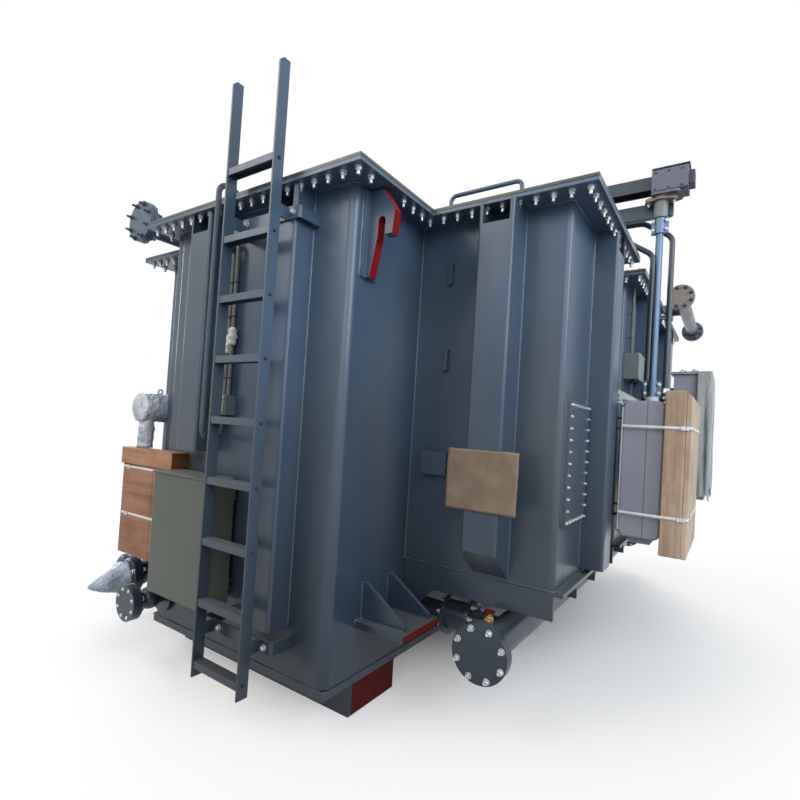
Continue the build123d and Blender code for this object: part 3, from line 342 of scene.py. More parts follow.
def card_finish(name, tone):
    """Corrugated card: soft blotches, faint ribs under the paper and darker damp patches."""
    finish, tree, surface, place = new_finish(name, Specular_IOR_Level=0.2)
    blotches = noise_at(tree, place, 9.0, 5.0, 0.6)
    ribs = node(tree, "ShaderNodeTexWave", {"Vector": place, "Scale": 46.0, "Distortion": 0.4}).outputs["Fac"]
    colour = mixed(tree, spread(tree, blotches, 0.3, 0.7), shaded(tone, 0.72), shaded(tone, 1.15))
    colour = mixed(tree, spread(tree, ribs, 0.0, 1.0, 0.0, 0.12), colour, shaded(tone, 0.5))
    wire(tree, surface, Base_Color=colour, Roughness=spread(tree, blotches, 0.3, 0.7, 0.7, 0.9),
         Normal=bumped(tree, ribs, 0.2, 0.001))
    return finish


plywood = sawn_wood("crate_plywood", srgb(162, 123, 101), srgb(131, 94, 73), "X")
beam_wood = sawn_wood("crate_beam_wood", srgb(174, 132, 106), srgb(138, 98, 75), "X", 22.0)
end_grain = sawn_wood("crate_end_grain", srgb(120, 72, 46), srgb(84, 48, 30), "Y", 60.0)
pine = sawn_wood("guard_pine", srgb(190, 168, 147), srgb(160, 134, 113), "Z")
pale_pine = sawn_wood("guard_pale_pine", srgb(200, 182, 163), srgb(172, 148, 126), "Z", 26.0)
cardboard = card_finish("cardboard", srgb(128, 113, 98))
print("wood and card:", plywood.name, pine.name, cardboard.name)

# %% [markdown]
# Packing film is clear, but crumpled over a valve it looks white where its folds pile up and takes the
# colour of what lies under it elsewhere. Noise that crosses its middle value draws a thin line, and such
# lines at two sizes make the creases.
# Straps and tape are woven and stretched plastics, so they get fine cross lines instead.

# %% Film, straps and other plastics
CREASE_WHITE = srgb(226, 230, 234)
WAVES_PER_SCALE = 0.31


def film_finish(name, pale, deep, creased=0.5, drop=0.45, depth=0.6):
    """Crumpled film: pale folds over a deeper tone, satin, with creases that a low drop draws out downwards."""
    finish, tree, surface, place = new_finish(name, Specular_IOR_Level=0.5, Coat_Weight=0.3, Coat_Roughness=0.12)
    stretch = (1.0, 1.0, drop)
    large, small = [math_node(tree, "SUBTRACT", noise_at(tree, place, scale, 3.0, 0.5, stretch), 0.5)
                    for scale in (13.0, 34.0)]
    large, small = [math_node(tree, "ABSOLUTE", ridge, 0.0) for ridge in (large, small)]
    folds = math_node(tree, "MINIMUM", large, small)
    clouds = noise_at(tree, place, 14.0, 5.0, 0.7, stretch)
    colour = mixed(tree, spread(tree, clouds, 0.35, 0.65), deep, pale)
    colour = mixed(tree, spread(tree, folds, 0.03, 0.0, 0.0, creased), colour, CREASE_WHITE)
    wire(tree, surface, Base_Color=colour, Roughness=spread(tree, clouds, 0.3, 0.7, 0.28, 0.5),
         Normal=bumped(tree, math_node(tree, "ADD", large, small), depth, 0.02))
    return finish


def ribbed_plastic(name, tone, pitch, rough):
    """A plastic with fine ribs across its length, such as strap, tape or ribbed conduit."""
    finish, tree, surface, place = new_finish(name, Specular_IOR_Level=0.4)
    inputs = {"Vector": place, "Scale": WAVES_PER_SCALE / pitch, "Distortion": 0.2}
    ribs = node(tree, "ShaderNodeTexWave", inputs, bands_direction="DIAGONAL").outputs["Fac"]
    dirt = noise_at(tree, place, 18.0, 5.0, 0.65)
    colour = mixed(tree, spread(tree, dirt, 0.45, 0.75), tone, shaded(tone, 0.72))
    # Painted shade: the colour is darker in the troughs of the ribs.
    colour = mixed(tree, spread(tree, ribs, 0.0, 0.4, 0.25, 0.0), colour, shaded(tone, 0.5))
    wire(tree, surface, Base_Color=colour, Roughness=spread(tree, dirt, 0.3, 0.7, rough, rough + 0.2),
         Normal=bumped(tree, ribs, 0.3, pitch * 0.3))
    return finish


white_film = film_finish("white_film", srgb(208, 216, 226), srgb(140, 154, 174), 0.45, 0.6, 0.9)
blue_film = film_finish("blue_film", srgb(176, 190, 208), srgb(112, 132, 160), 0.2)
dull_film = film_finish("dull_film", srgb(142, 149, 151), srgb(114, 122, 125), 0.1, 0.16, 0.3)
strap_white = ribbed_plastic("strap_white", srgb(226, 228, 230), 0.004, 0.35)
tape_white = ribbed_plastic("tape_white", srgb(224, 226, 228), 0.009, 0.45)
conduit_grey = ribbed_plastic("conduit_grey", srgb(108, 114, 114), 0.012, 0.5)
arch_grey = ribbed_plastic("arch_grey", srgb(66, 80, 100), 0.012, 0.4)
rubber = ribbed_plastic("rubber", srgb(38, 40, 42), 0.006, 0.65)
print("plastics:", white_film.name, strap_white.name, conduit_grey.name)

# %% [markdown]
# Red marks show the riggers where to lift, jack and skid. They are brushed on by hand over the gloss, so they
# show strokes and are worn through to the blue in spots. Near the ground they darken with painted shade.

# %% Marking red
RED_SHADE_NONE, RED_SHADE_FULL = 1.2, 0.3


def brushed_mark(name, tone):
    """A brushed marking paint with strokes and worn spots, and painted shade near the ground."""
    finish, tree, surface, place = new_finish(name, Specular_IOR_Level=0.1)
    strokes = noise_at(tree, place, 40.0, 4.0, 0.6, (1.0, 0.2, 1.0))
    worn = noise_at(tree, place, 70.0, 6.0, 0.75)
    colour = mixed(tree, spread(tree, strokes, 0.35, 0.7), shaded(tone, 0.8), shaded(tone, 1.15))
    colour = mixed(tree, spread(tree, worn, 0.66, 0.78, 0.0, 0.8), colour, TANK_TONE)
    # Painted shade: the red darkens towards the ground, where it stands in shade.
    red_ground_shade = spread(tree, height_of(tree, place), RED_SHADE_NONE, RED_SHADE_FULL, 0.0, 0.9)
    colour = mixed(tree, red_ground_shade, colour, shaded(tone, 0.2))
    wire(tree, surface, Base_Color=colour, Roughness=spread(tree, strokes, 0.3, 0.7, 0.5, 0.7),
         Normal=bumped(tree, strokes, 0.2, 0.001))
    return finish


marking_red = brushed_mark("marking_red", srgb(122, 18, 24))
print("mark:", marking_red.name)

# %% [markdown]
# Most solids keep their own shape and only take a finish. A table from solid to finish is shorter than
# a row of calls, and what the table leaves out is tank paint.

# %% Finishes on the solids
solid_finishes = {
    "front_cabinet": cabinet_green, "front_terminal_box": box_grey, "top_flange": flange_highlight_paint,
    "drive_cabinet": drive_grey, "marshalling_cabinet": drive_grey, "wing_terminal_box": box_grey,
    "bevel_gearbox": gear_grey, "shaft_guard": pipe_shade_paint, "oil_pipes": pipe_shade_paint, "lid": lid_paint,
    "drive_shaft": shaft_alloy, "wrapped_valve": blue_film, "wall_conduits": conduit_grey,
    "arched_conduit": arch_grey,
}
for name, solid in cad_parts.items():
    solid.data.materials.clear()
    solid.data.materials.append(solid_finishes.get(name, tank_paint))
print("finished", len(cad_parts), "solids,", len(solid_finishes), "of them not in tank paint")

# %% [markdown]
# New pieces come from three places: meshes written point by point, thin skins lifted off a solid's own
# faces, and node trees that repeat something. They all end the same way: one plain mesh at the origin,
# with a finish, riding on a body of the frame. Most places come from the boxes of the solids.

# %% Piece helpers
SAME_POINT = 1e-6
SAME_PLANE = 1e-4


def piece_from(name, mesh, material=None, body="tank", slot=None):
    """Make a mesh into a piece that rides on a body of the frame."""
    mesh.name = name
    if material is not None:
        mesh.materials.clear()
        mesh.materials.append(material)
    piece = bpy.data.objects.new(name, mesh)
    bpy.context.scene.collection.objects.link(piece)
    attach(piece, body)
    return piece


def mesh_of(shape, smooth=False):
    """Turn a bmesh into a mesh and free it."""
    mesh = bpy.data.meshes.new("shape")
    bmesh.ops.recalc_face_normals(shape, faces=shape.faces)
    for face in shape.faces:
        face.smooth = smooth
    shape.to_mesh(mesh)
    shape.free()
    return mesh


def box_round(places):
    """The lowest and highest corner of the box round some points."""
    return [Vector([pick(place[axis] for place in places) for axis in range(3)]) for pick in (min, max)]


def loose_boxes(name):
    """The box of each separate solid inside a node, as pairs of corners."""
    shape = bmesh.new()
    shape.from_mesh(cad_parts[name].data)
    bmesh.ops.remove_doubles(shape, verts=shape.verts, dist=SAME_POINT)
    left = set(shape.verts)
    boxes = []
    while left:
        group = [left.pop()]
        for vert in group:
            for edge in vert.link_edges:
                other = edge.other_vert(vert)
                if other in left:
                    left.discard(other)
                    group.append(other)
        boxes.append(box_round([vert.co for vert in group]))
    shape.free()
    return sorted(boxes, key=lambda pair: tuple(round(v, 4) for v in pair[0]))


def end_disc(name, axis, side):
    """The centre and radius of a solid's flat round end, on its lowest or highest plane along an axis."""
    places = [v.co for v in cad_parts[name].data.vertices]
    edge = (min if side < 0 else max)(p[axis] for p in places)
    low, high = box_round([p for p in places if abs(p[axis] - edge) < SAME_PLANE])
    return (low + high) / 2, (high.z - low.z) / 2


core_low, core_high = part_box("tank_core")
right_wings = [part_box(f"right_wing_{n}") for n in (1, 2, 3)]
left_wings = [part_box(f"left_wing_{n}") for n in (1, 2, 3)]
Z_TOP = core_high.z
Z_LID_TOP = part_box("lid")[1].z
print("wings:", len(right_wings) + len(left_wings), "lid top at", round(Z_LID_TOP, 3), "m")

# %% [markdown]
# What repeats on this tank is made by Geometry Nodes: a tree takes a simple mesh of points or lines and grows
# the real shape on it. Each bolt or bead could be written into a mesh point by point, but a tree keeps the
# recipe in one place and its sizes in view. Two helpers open and close a tree. A third runs it once and keeps the
# result as a plain mesh, because a piece has to be one.

# %% Tree helpers
def new_tree(name, **inputs):
    """An empty geometry tree with named inputs, and its input sockets by name."""
    tree = bpy.data.node_groups.new(name, "GeometryNodeTree")
    tree.interface.new_socket("Geometry", in_out="INPUT", socket_type="NodeSocketGeometry")
    for label, kind in inputs.items():
        tree.interface.new_socket(label, in_out="INPUT", socket_type="NodeSocket" + kind)
    tree.interface.new_socket("Geometry", in_out="OUTPUT", socket_type="NodeSocketGeometry")
    return tree, node(tree, "NodeGroupInput").outputs


def closed_tree(tree, geometry, material):
    """Make instances real, set the material and end the tree."""
    real = node(tree, "GeometryNodeRealizeInstances", {"Geometry": geometry}).outputs[0]
    dressed = node(tree, "GeometryNodeSetMaterial", {"Geometry": real, "Material": material}).outputs[0]
    node(tree, "NodeGroupOutput", {"Geometry": dressed})
    return tree


def grown(name, tree, mesh, material, body="tank", slot=None, **inputs):
    """Run a tree once on a mesh, keep the result as one plain mesh and make it a piece."""
    carrier = bpy.data.objects.new(name + ".seed", mesh)
    bpy.context.scene.collection.objects.link(carrier)
    grower = carrier.modifiers.new("grow", "NODES")
    grower.node_group = tree
    sockets = {s.name: s.identifier for s in tree.interface.items_tree if s.in_out == "INPUT"}
    for label, value in {"Material": material, **inputs}.items():
        grower[sockets[label]] = value
    result = carrier.evaluated_get(bpy.context.evaluated_depsgraph_get())
    plain = bpy.data.meshes.new_from_object(result)
    bpy.data.objects.remove(carrier)
    return piece_from(name, plain, material, body, slot)


print("tree helpers ready")

# %% [markdown]
# Bolts are the clearest sign of size on a tank. Each one here is a washer, a hexagon with a chamfered crown
# and a stub of thread. Placing hundreds by hand is hopeless, so a node tree puts one on every point of a
# mesh: the point carries the direction of its bolt as an attribute, and a random turn keeps the flats from
# lining up. The same tree serves nuts, heads and pipe unions, because width and thread are inputs.

# %% Bolt tree
# shares of the width across the flats
WASHER_R, WASHER_T = 0.68, 0.12
HEX_R, HEX_T = 0.577, 0.46
CROWN_R, CROWN_T = 0.47, 0.1
THREAD_R = 0.32
HEAD_T = WASHER_T + HEX_T


def raised(tree, geometry, height):
    """Move a part of a bolt up its own axis."""
    offset = node(tree, "ShaderNodeCombineXYZ", {"Z": height}).outputs[0]
    return node(tree, "GeometryNodeTransform", {"Geometry": geometry, "Translation": offset}).outputs[0]


def bolt_tree():
    """One bolt on every point, standing along the point's axis attribute."""
    tree, given = new_tree("bolt_rows", Across="Float", Thread="Float", Seed="Int", Material="Material")
    across = given["Across"]

    def share(part):
        return math_node(tree, "MULTIPLY", across, part)

    def round_bar(sides, radius, depth):
        return node(tree, "GeometryNodeMeshCylinder", {"Vertices": sides, "Radius": share(radius), "Depth": depth})

    inputs = {"Vertices": 6, "Radius Top": share(CROWN_R), "Radius Bottom": share(HEX_R), "Depth": share(CROWN_T)}
    crown = node(tree, "GeometryNodeMeshCone", inputs)
    thread_half = math_node(tree, "MULTIPLY", given["Thread"], 0.5)
    stack = ((round_bar(14, WASHER_R, share(WASHER_T)), share(WASHER_T / 2)),
             (round_bar(6, HEX_R, share(HEX_T)), share(WASHER_T + HEX_T / 2)),
             (crown, share(HEAD_T)),
             (round_bar(8, THREAD_R, given["Thread"]), math_node(tree, "ADD", share(HEAD_T + CROWN_T), thread_half)))
    bolt = node(tree, "GeometryNodeJoinGeometry")
    for part, height in stack:
        tree.links.new(raised(tree, part.outputs["Mesh"], height), bolt.inputs[0])
    axis = node(tree, "GeometryNodeInputNamedAttribute", {"Name": "axis"}, data_type="FLOAT_VECTOR").outputs[0]
    upright = node(tree, "FunctionNodeAlignRotationToVector", {"Vector": axis}, axis="Z").outputs[0]
    angle = node(tree, "FunctionNodeRandomValue", {2: 0.0, 3: math.tau, "Seed": given["Seed"]}).outputs[1]
    turn = node(tree, "FunctionNodeAxisAngleToRotation", {"Axis": (0.0, 0.0, 1.0), "Angle": angle}).outputs[0]
    turned = node(tree, "FunctionNodeRotateRotation", {"Rotation": upright, "Rotate By": turn},
                  rotation_space="LOCAL").outputs[0]
    inputs = {"Points": given["Geometry"], "Instance": bolt.outputs[0], "Rotation": turned}
    placed = node(tree, "GeometryNodeInstanceOnPoints", inputs).outputs[0]
    return closed_tree(tree, placed, given["Material"])


bolts = bolt_tree()
print("bolt tree:", len(bolts.nodes), "nodes")

# %% [markdown]
# A row of bolts is then only a list of places, each with the direction in which its bolt stands. The directions
# get names, because most walls of the tank look along an axis.

# %% Rows of bolts
UP = Vector((0.0, 0.0, 1.0))
RIGHT = Vector((1.0, 0.0, 0.0))
BACK = Vector((0.0, 1.0, 0.0))
DOWN, LEFT, FRONT = -UP, -RIGHT, -BACK


def points_mesh(rows):
    """Loose points that each carry the axis of their bolt."""
    mesh = bpy.data.meshes.new("points")
    mesh.from_pydata([tuple(place) for place, axis in rows], [], [])
    attribute = mesh.attributes.new("axis", "FLOAT_VECTOR", "POINT")
    attribute.data.foreach_set("vector", [value for place, axis in rows for value in axis])
    return mesh


def bolt_piece(name, rows, across, thread, material=None, body="tank", slot="zinc"):
    """Bolts of one size on a list of places and axes."""
    made = grown(name, bolts, points_mesh(rows), material or zinc, body, slot,
                 Across=across, Thread=thread, Seed=len(rows))
    print(name, "bolts:", len(rows), "faces:", len(made.data.polygons))
    return made


print("directions:", tuple(UP), tuple(RIGHT), tuple(BACK), "and their opposites")

# %% [markdown]
# From above the tank is a comb: a long block with three wings on each side. One list of corner points describes
# that outline at any distance from the walls, so the same function serves the bolts of the lid and, later, the
# weld under the flange. Points are then spread along it with an even step.

# %% Outline of the tank
def comb_loop(margin):
    """The corners of the stepped plan of block and wings, grown by a margin, anticlockwise from above."""
    corners = [(core_low.x - margin, core_low.y - margin), (core_high.x + margin, core_low.y - margin)]
    for low, high in right_wings:
        corners += [(core_high.x + margin, low.y - margin), (high.x + margin, low.y - margin)]
        corners += [(high.x + margin, high.y + margin), (core_high.x + margin, high.y + margin)]
    corners += [(core_high.x + margin, core_high.y + margin), (core_low.x - margin, core_high.y + margin)]
    for low, high in reversed(left_wings):
        corners += [(core_low.x - margin, high.y + margin), (low.x - margin, high.y + margin)]
        corners += [(low.x - margin, low.y - margin), (core_low.x - margin, low.y - margin)]
    return [Vector(corner) for corner in corners]


def along_loop(corners, pitch):
    """Points along a closed outline, evenly spaced on each straight edge, with one at each corner."""
    places = []
    for first, second in zip(corners, corners[1:] + corners[:1]):
        steps = max(1, round((second - first).length / pitch))
        places += [first.lerp(second, step / steps) for step in range(steps)]
    return places


def clear_of(place, boxes, room):
    """Whether a point stays outside the plan of some boxes by some room."""
    for low, high in boxes:
        if low.x - room < place.x < high.x + room and low.y - room < place.y < high.y + room:
            return False
    return True


print("outline corners:", len(comb_loop(0.0)))

# %% [markdown]
# The lid's bolts follow that outline a hand's width out from the walls. Nuts hang below the flange with their
# thread showing, heads lie on the lid. Where a lifting lug, a handle's leg or a foot plate stands on the row, the
# fitters left the bolt out, and so does the test on each point.

# %% Lid bolts
BOLT_PITCH = 0.088
BOLT_ROW = 0.098
LID_BOLT = 0.027
LUG_ROOM = 0.03
STAND_ROOM = 0.035
ARCH_FOOT = 0.19

lid_row = along_loop(comb_loop(BOLT_ROW), BOLT_PITCH)
lugs = loose_boxes("lifting_lugs")
handles = loose_boxes("lid_handles")
handle_legs = [(Vector((x, low.y, 0.0)), Vector((x, high.y, 0.0))) for low, high in handles for x in (low.x, high.x)]
arch_low, arch_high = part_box("arched_conduit")
arch_foot = (arch_low, Vector((arch_high.x, arch_low.y + ARCH_FOOT, 0.0)))
lid_stands = [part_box("gearbox_arm"), arch_foot, *handle_legs]
nuts = [(Vector((*p, Z_TOP)), DOWN) for p in lid_row if clear_of(p, lugs, LUG_ROOM)]
heads = [(Vector((*p, Z_LID_TOP)), UP) for p in lid_row if clear_of(p, lid_stands, STAND_ROOM)]
bolt_piece("lid_nuts", nuts, LID_BOLT, thread=0.018)
bolt_piece("lid_bolt_heads", heads, LID_BOLT, thread=0.002)

# %% [markdown]
# Blanked pipes end in a flange, a gasket and a blind cover, held by eight bolts. The middle and the radius of
# each cover are read off the end face of the solid, so no place is typed in twice.
# The holes straddle the upright line through the middle, as pipe fitters set them. The upper headers were bolted
# up before the last coat, so their bolts are painted. The drain's thin heads are sunk a little, so that nothing
# stands out past the solids.

# %% Pipe flange bolts
PIPE_BOLT = 0.024
PIPE_BOLTS = 8
RIM_TO_BOLT = 0.0215
BLIND_STACK = 0.054
DRAIN_BOLT = 0.02
RIM_TO_DRAIN_BOLT = 0.02
DRAIN_STACK = 0.052
DRAIN_HEAD_SUNK = 0.0102


def ways_round(axis, count, turn=0.0):
    """Angles and directions spread evenly round an axis; turn is the place of the first, in steps."""
    first = axis.orthogonal().normalized()
    second = axis.cross(first)
    angles = [math.tau * (step + turn) / count for step in range(count)]
    return [(angle, math.cos(angle) * first + math.sin(angle) * second) for angle in angles]


def ring_of(centre, radius, axis, count):
    """Places and axes of bolts round a circle, half a step off its first direction."""
    return [(centre + radius * way, axis) for angle, way in ways_round(axis, count, 0.5)]


def header_rows(*names):
    """The bolts through the blinds at both ends of some headers."""
    rows = []
    for name in names:
        for side, axis in ((-1, FRONT), (1, BACK)):
            centre, radius = end_disc(name, 1, side)
            rows += ring_of(centre, radius - RIM_TO_BOLT, axis, PIPE_BOLTS)
            rows += ring_of(centre - axis * BLIND_STACK, radius - RIM_TO_BOLT, -axis, PIPE_BOLTS)
    return rows


drain_centre, drain_radius = end_disc("drain_valve", 1, -1)
drain_rows = []
for axis, back in ((FRONT, DRAIN_HEAD_SUNK), (BACK, DRAIN_STACK)):
    drain_rows += ring_of(drain_centre + BACK * back, drain_radius - RIM_TO_DRAIN_BOLT, axis, PIPE_BOLTS)
bolt_piece("lower_header_bolts", header_rows("right_lower_header", "left_lower_header"), PIPE_BOLT, thread=0.012)
bolt_piece("upper_header_bolts", header_rows("left_upper_header", "right_upper_header"), PIPE_BOLT, 0.022,
           pipe_shade_paint, slot="tank_paint")
bolt_piece("drain_flange_bolts", drain_rows, DRAIN_BOLT, thread=0.003)

# %% [markdown]
# Between header and tank each branch carries a valve between two flanges, bolted from both sides.
# The stubs on the lid, the tap changer's head and the blanked bushing openings have their rings as well.

# %% Branch, head and cover bolts
BRANCH_FACE = 0.082
BRANCH_RING = 0.089
RIGHT_BRANCH, LEFT_BRANCH = 0.19, 0.48
STUB_FLANGE = 0.022
HEAD_FLANGES = (0.034, 0.224)
HEAD_BOLTS = 28
RIM_TO_HEAD_BOLT = 0.02
RIM_TO_COVER_BOLT = 0.024
COVER_BOLTS_PER_METRE = 72


def disc_on_top(low, high, z):
    """The centre at a height and the radius of a round thing in a box."""
    return Vector(((low.x + high.x) / 2, (low.y + high.y) / 2, z)), (high.x - low.x) / 2


branch_rows = []
for name, wings, wall, start in (("right_lower_header", right_wings, core_high.x, RIGHT_BRANCH),
                                 ("left_lower_header", left_wings, core_low.x, LEFT_BRANCH)):
    centre = end_disc(name, 1, -1)[0]
    middle = (centre.x + wall) / 2
    for low, high in wings:
        for axis in (RIGHT, LEFT):
            face = Vector((middle + axis.x * BRANCH_FACE, low.y + start, centre.z))
            branch_rows += ring_of(face, BRANCH_RING, axis, PIPE_BOLTS)
stub_x = end_disc("left_upper_header", 1, -1)[0].x
for low, high in left_wings:
    stub = Vector((stub_x, (low.y + high.y) / 2, Z_LID_TOP + STUB_FLANGE))
    branch_rows += ring_of(stub, BRANCH_RING, UP, PIPE_BOLTS)
cover_rows = []
for height in HEAD_FLANGES:
    centre, radius = disc_on_top(*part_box("tap_changer_head"), Z_LID_TOP + height)
    cover_rows += ring_of(centre, radius - RIM_TO_HEAD_BOLT, UP, HEAD_BOLTS)
for low, high in loose_boxes("bushing_covers"):
    centre, radius = disc_on_top(low, high, high.z)
    cover_rows += ring_of(centre, radius - RIM_TO_COVER_BOLT, UP, round(radius * COVER_BOLTS_PER_METRE))
bolt_piece("branch_bolts", branch_rows, PIPE_BOLT, thread=0.012)
bolt_piece("head_and_cover_bolts", cover_rows, PIPE_BOLT, thread=0.006)

# %% [markdown]
# The cover plate on the first wing and the lids of the terminal boxes are screwed on round their rims. A rim is
# walked as shares of its width and height, up both sides first and then along both ends.

# %% Cover and box screws
def frame_rows(low, high, axis, inset, long_count, short_count):
    """Bolts round the rim of an upright plate that faces +X or -Y, on the face that the axis leaves."""
    across = 1 if axis.x else 0
    face = high if axis.x + axis.y > 0 else low

    def bolt_at(side, height):
        place = Vector(face)
        place[across] = low[across] + inset + (high[across] - low[across] - 2 * inset) * side
        place.z = low.z + inset + (high.z - low.z - 2 * inset) * height
        return place, axis

    rows = [bolt_at(side, step / (long_count - 1)) for step in range(long_count) for side in (0.0, 1.0)]
    rows += [bolt_at(step / (short_count - 1), end) for step in range(1, short_count - 1) for end in (0.0, 1.0)]
    return rows


COVER_SCREW = 0.0125
BOX_SCREW = 0.01
cover_screws = frame_rows(*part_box("side_cover_plate"), RIGHT, 0.02, 11, 7)
box_screws = frame_rows(*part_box("wing_terminal_box"), RIGHT, 0.016, 2, 2)
box_screws += frame_rows(*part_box("front_terminal_box"), FRONT, 0.017, 2, 2)
bolt_piece("cover_plate_screws", cover_screws, COVER_SCREW, thread=0.004)
bolt_piece("box_screws", box_screws, BOX_SCREW, thread=0.001)

# %% [markdown]
# The ladder hangs on two brackets. A bolt beside each stringer holds it to the bracket, and a painted bolt
# through the stringer holds each end of a rung.

# %% Ladder bolts
LADDER_BOLT = 0.022
RUNG_BOLT = 0.014
BESIDE_LEFT, BESIDE_RIGHT = 0.05, 0.035
BRACKET_LIP = 0.047

stringer_low, stringer_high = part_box("ladder_stringers")
bracket_rows = []
for low, high in loose_boxes("ladder_brackets"):
    for x in (stringer_low.x + BESIDE_LEFT, stringer_high.x + BESIDE_RIGHT):
        bracket_rows.append((Vector((x, low.y + BRACKET_LIP, (low.z + high.z) / 2)), FRONT))
stringer_y = (stringer_low.y + stringer_high.y) / 2
rung_rows = []
for low, high in loose_boxes("ladder_rungs"):
    for x, axis in ((stringer_low.x, LEFT), (stringer_high.x, RIGHT)):
        rung_rows.append((Vector((x, stringer_y, (low.z + high.z) / 2)), axis))
bolt_piece("ladder_bolts", bracket_rows, LADDER_BOLT, thread=0.005)
bolt_piece("rung_bolts", rung_rows, RUNG_BOLT, 0.003, pipe_shade_paint, slot="tank_paint")

# %% [markdown]
# The bevel gearbox has a screwed front plate, and split clamps couple the shaft at both ends. The clamp bolts
# ride on the shaft, because they turn with it.

# %% Gearbox and coupling bolts
GEAR_SCREW = 0.011
GEAR_PLATE_LEFT, GEAR_PLATE_RIGHT = 0.012, 0.05
GEAR_PLATE_TOP, GEAR_PLATE_FOOT = 0.016, 0.134
GEAR_PLATE_BACK = 0.006
CLAMP_BOLT = 0.017
CLAMP_IN = 0.078
CLAMP_SIDE, CLAMP_RISE, CLAMP_HALF = 0.036, 0.026, 0.013

gear_low, gear_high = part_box("bevel_gearbox")
gear_face = gear_low.y + GEAR_PLATE_BACK
plate_low = Vector((gear_low.x + GEAR_PLATE_LEFT, gear_face, gear_high.z - GEAR_PLATE_FOOT))
plate_high = Vector((gear_high.x - GEAR_PLATE_RIGHT, gear_face, gear_high.z - GEAR_PLATE_TOP))
gear_rows = frame_rows(plate_low, plate_high, FRONT, 0.01, 2, 3)
shaft_low, shaft_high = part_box("drive_shaft")
shaft_axis = ((shaft_low + shaft_high) / 2).xy.to_3d()
clamp_rows = []
for middle in (shaft_low.z + CLAMP_IN, shaft_high.z - CLAMP_IN):
    for side in (-CLAMP_SIDE, CLAMP_SIDE):
        for rise in (-CLAMP_RISE, CLAMP_RISE):
            place = shaft_axis + Vector((side, 0.0, middle + rise))
            clamp_rows += [(place + axis * CLAMP_HALF, axis) for axis in (FRONT, BACK)]
bolt_piece("gearbox_screws", gear_rows, GEAR_SCREW, 0.001, gear_grey, slot="drive_grey")
bolt_piece("coupling_bolts", clamp_rows, CLAMP_BOLT, 0.004, body="drive_shaft")

# %% [markdown]
# Every plate of the tank is welded. A fillet weld is a bead in the corner between two plates, and on painted
# steel its ripples catch the light as a thin pale line, which draws the whole structure. That pale line is a
# painted highlight: the beads take a lighter copy of the tank paint.
# A second tree turns polylines into such beads: it divides the line, varies the bead's thickness with noise
# and sweeps a small ring along it.

# %% Weld tree
def weld_tree():
    """A bead of uneven thickness along each polyline."""
    tree, given = new_tree("weld_beads", Size="Float", Step="Float", Material="Material")
    curve = node(tree, "GeometryNodeMeshToCurve", {"Mesh": given["Geometry"]}).outputs[0]
    even = node(tree, "GeometryNodeResampleCurve", {"Curve": curve, "Length": given["Step"]}, mode="LENGTH").outputs[0]
    ripple = node(tree, "ShaderNodeTexNoise", {"Scale": 55.0, "Detail": 1.0}).outputs["Fac"]
    swell = spread(tree, ripple, 0.3, 0.7, 0.7, 1.3)
    ring = node(tree, "GeometryNodeCurvePrimitiveCircle", {"Resolution": 6, "Radius": given["Size"]}).outputs[0]
    inputs = {"Curve": even, "Profile Curve": ring, "Scale": swell, "Fill Caps": True}
    bead = node(tree, "GeometryNodeCurveToMesh", inputs).outputs[0]
    smooth = node(tree, "GeometryNodeSetShadeSmooth", {"Geometry": bead}).outputs[0]
    return closed_tree(tree, smooth, given["Material"])


def lines_mesh(lines):
    """Polylines as a mesh of edges; a line is a list of points, closed where its ends are the same."""
    mesh = bpy.data.meshes.new("lines")
    places = []
    edges = []
    for line in lines:
        start = len(places)
        closed = (Vector(line[0]) - Vector(line[-1])).length < SAME_POINT
        points = line[:-1] if closed else line
        places += [tuple(p) for p in points]
        edges += [(start + i, start + i + 1) for i in range(len(points) - 1)]
        if closed:
            edges.append((start + len(points) - 1, start))
    mesh.from_pydata(places, edges, [])
    return mesh


welds = weld_tree()


def weld_piece(name, lines, size=0.006, step=0.02):
    """Weld beads of one size along some lines."""
    made = grown(name, welds, lines_mesh(lines), bead_highlight_paint, slot="tank_paint", Size=size, Step=step)
    print(name, "lines:", len(lines), "faces:", len(made.data.polygons))
    return made


print("weld tree:", len(welds.nodes), "nodes")

# %% [markdown]
# Beads run up both sides and round the foot of every stiffener, down the corners between wing and block, along
# the floor of each wing, and round the walls under the flange and over the bottom plate. A stiffener's wall is
# found as the plane that one of its faces shares, so its line needs no typed place.

# %% Welds of the walls
FLOOR_Z = right_wings[0][0].z
ON_WALL = 2e-3


def seat_of(low, high, planes):
    """The wall that a box stands on, as the axis and the place of the plane that one of its faces shares."""
    for axis, place in planes:
        if min(abs(low[axis] - place), abs(high[axis] - place)) < ON_WALL:
            return axis, place
    return None


def u_line(low, high, axis, place):
    """Up one side of a box on a wall, down the other, and across its foot."""
    other = 1 - axis
    line = []
    for side, height in ((low[other], high.z), (low[other], low.z), (high[other], low.z), (high[other], high.z)):
        point = Vector((0.0, 0.0, height))
        point[axis] = place
        point[other] = side
        line.append(point)
    return line


wall_planes = [(1, core_low.y), (1, core_high.y), (0, right_wings[0][1].x), (0, left_wings[0][0].x),
               (0, core_low.x), (0, core_high.x), (1, right_wings[0][0].y), (1, right_wings[-1][1].y)]
stiffener_lines = []
for name in ("front_stiffeners", "rear_stiffeners", "right_wing_stiffeners", "left_wing_stiffeners"):
    for low, high in loose_boxes(name):
        stiffener_lines.append(u_line(low, high, *seat_of(low, high, wall_planes)))
weld_piece("stiffener_welds", stiffener_lines)

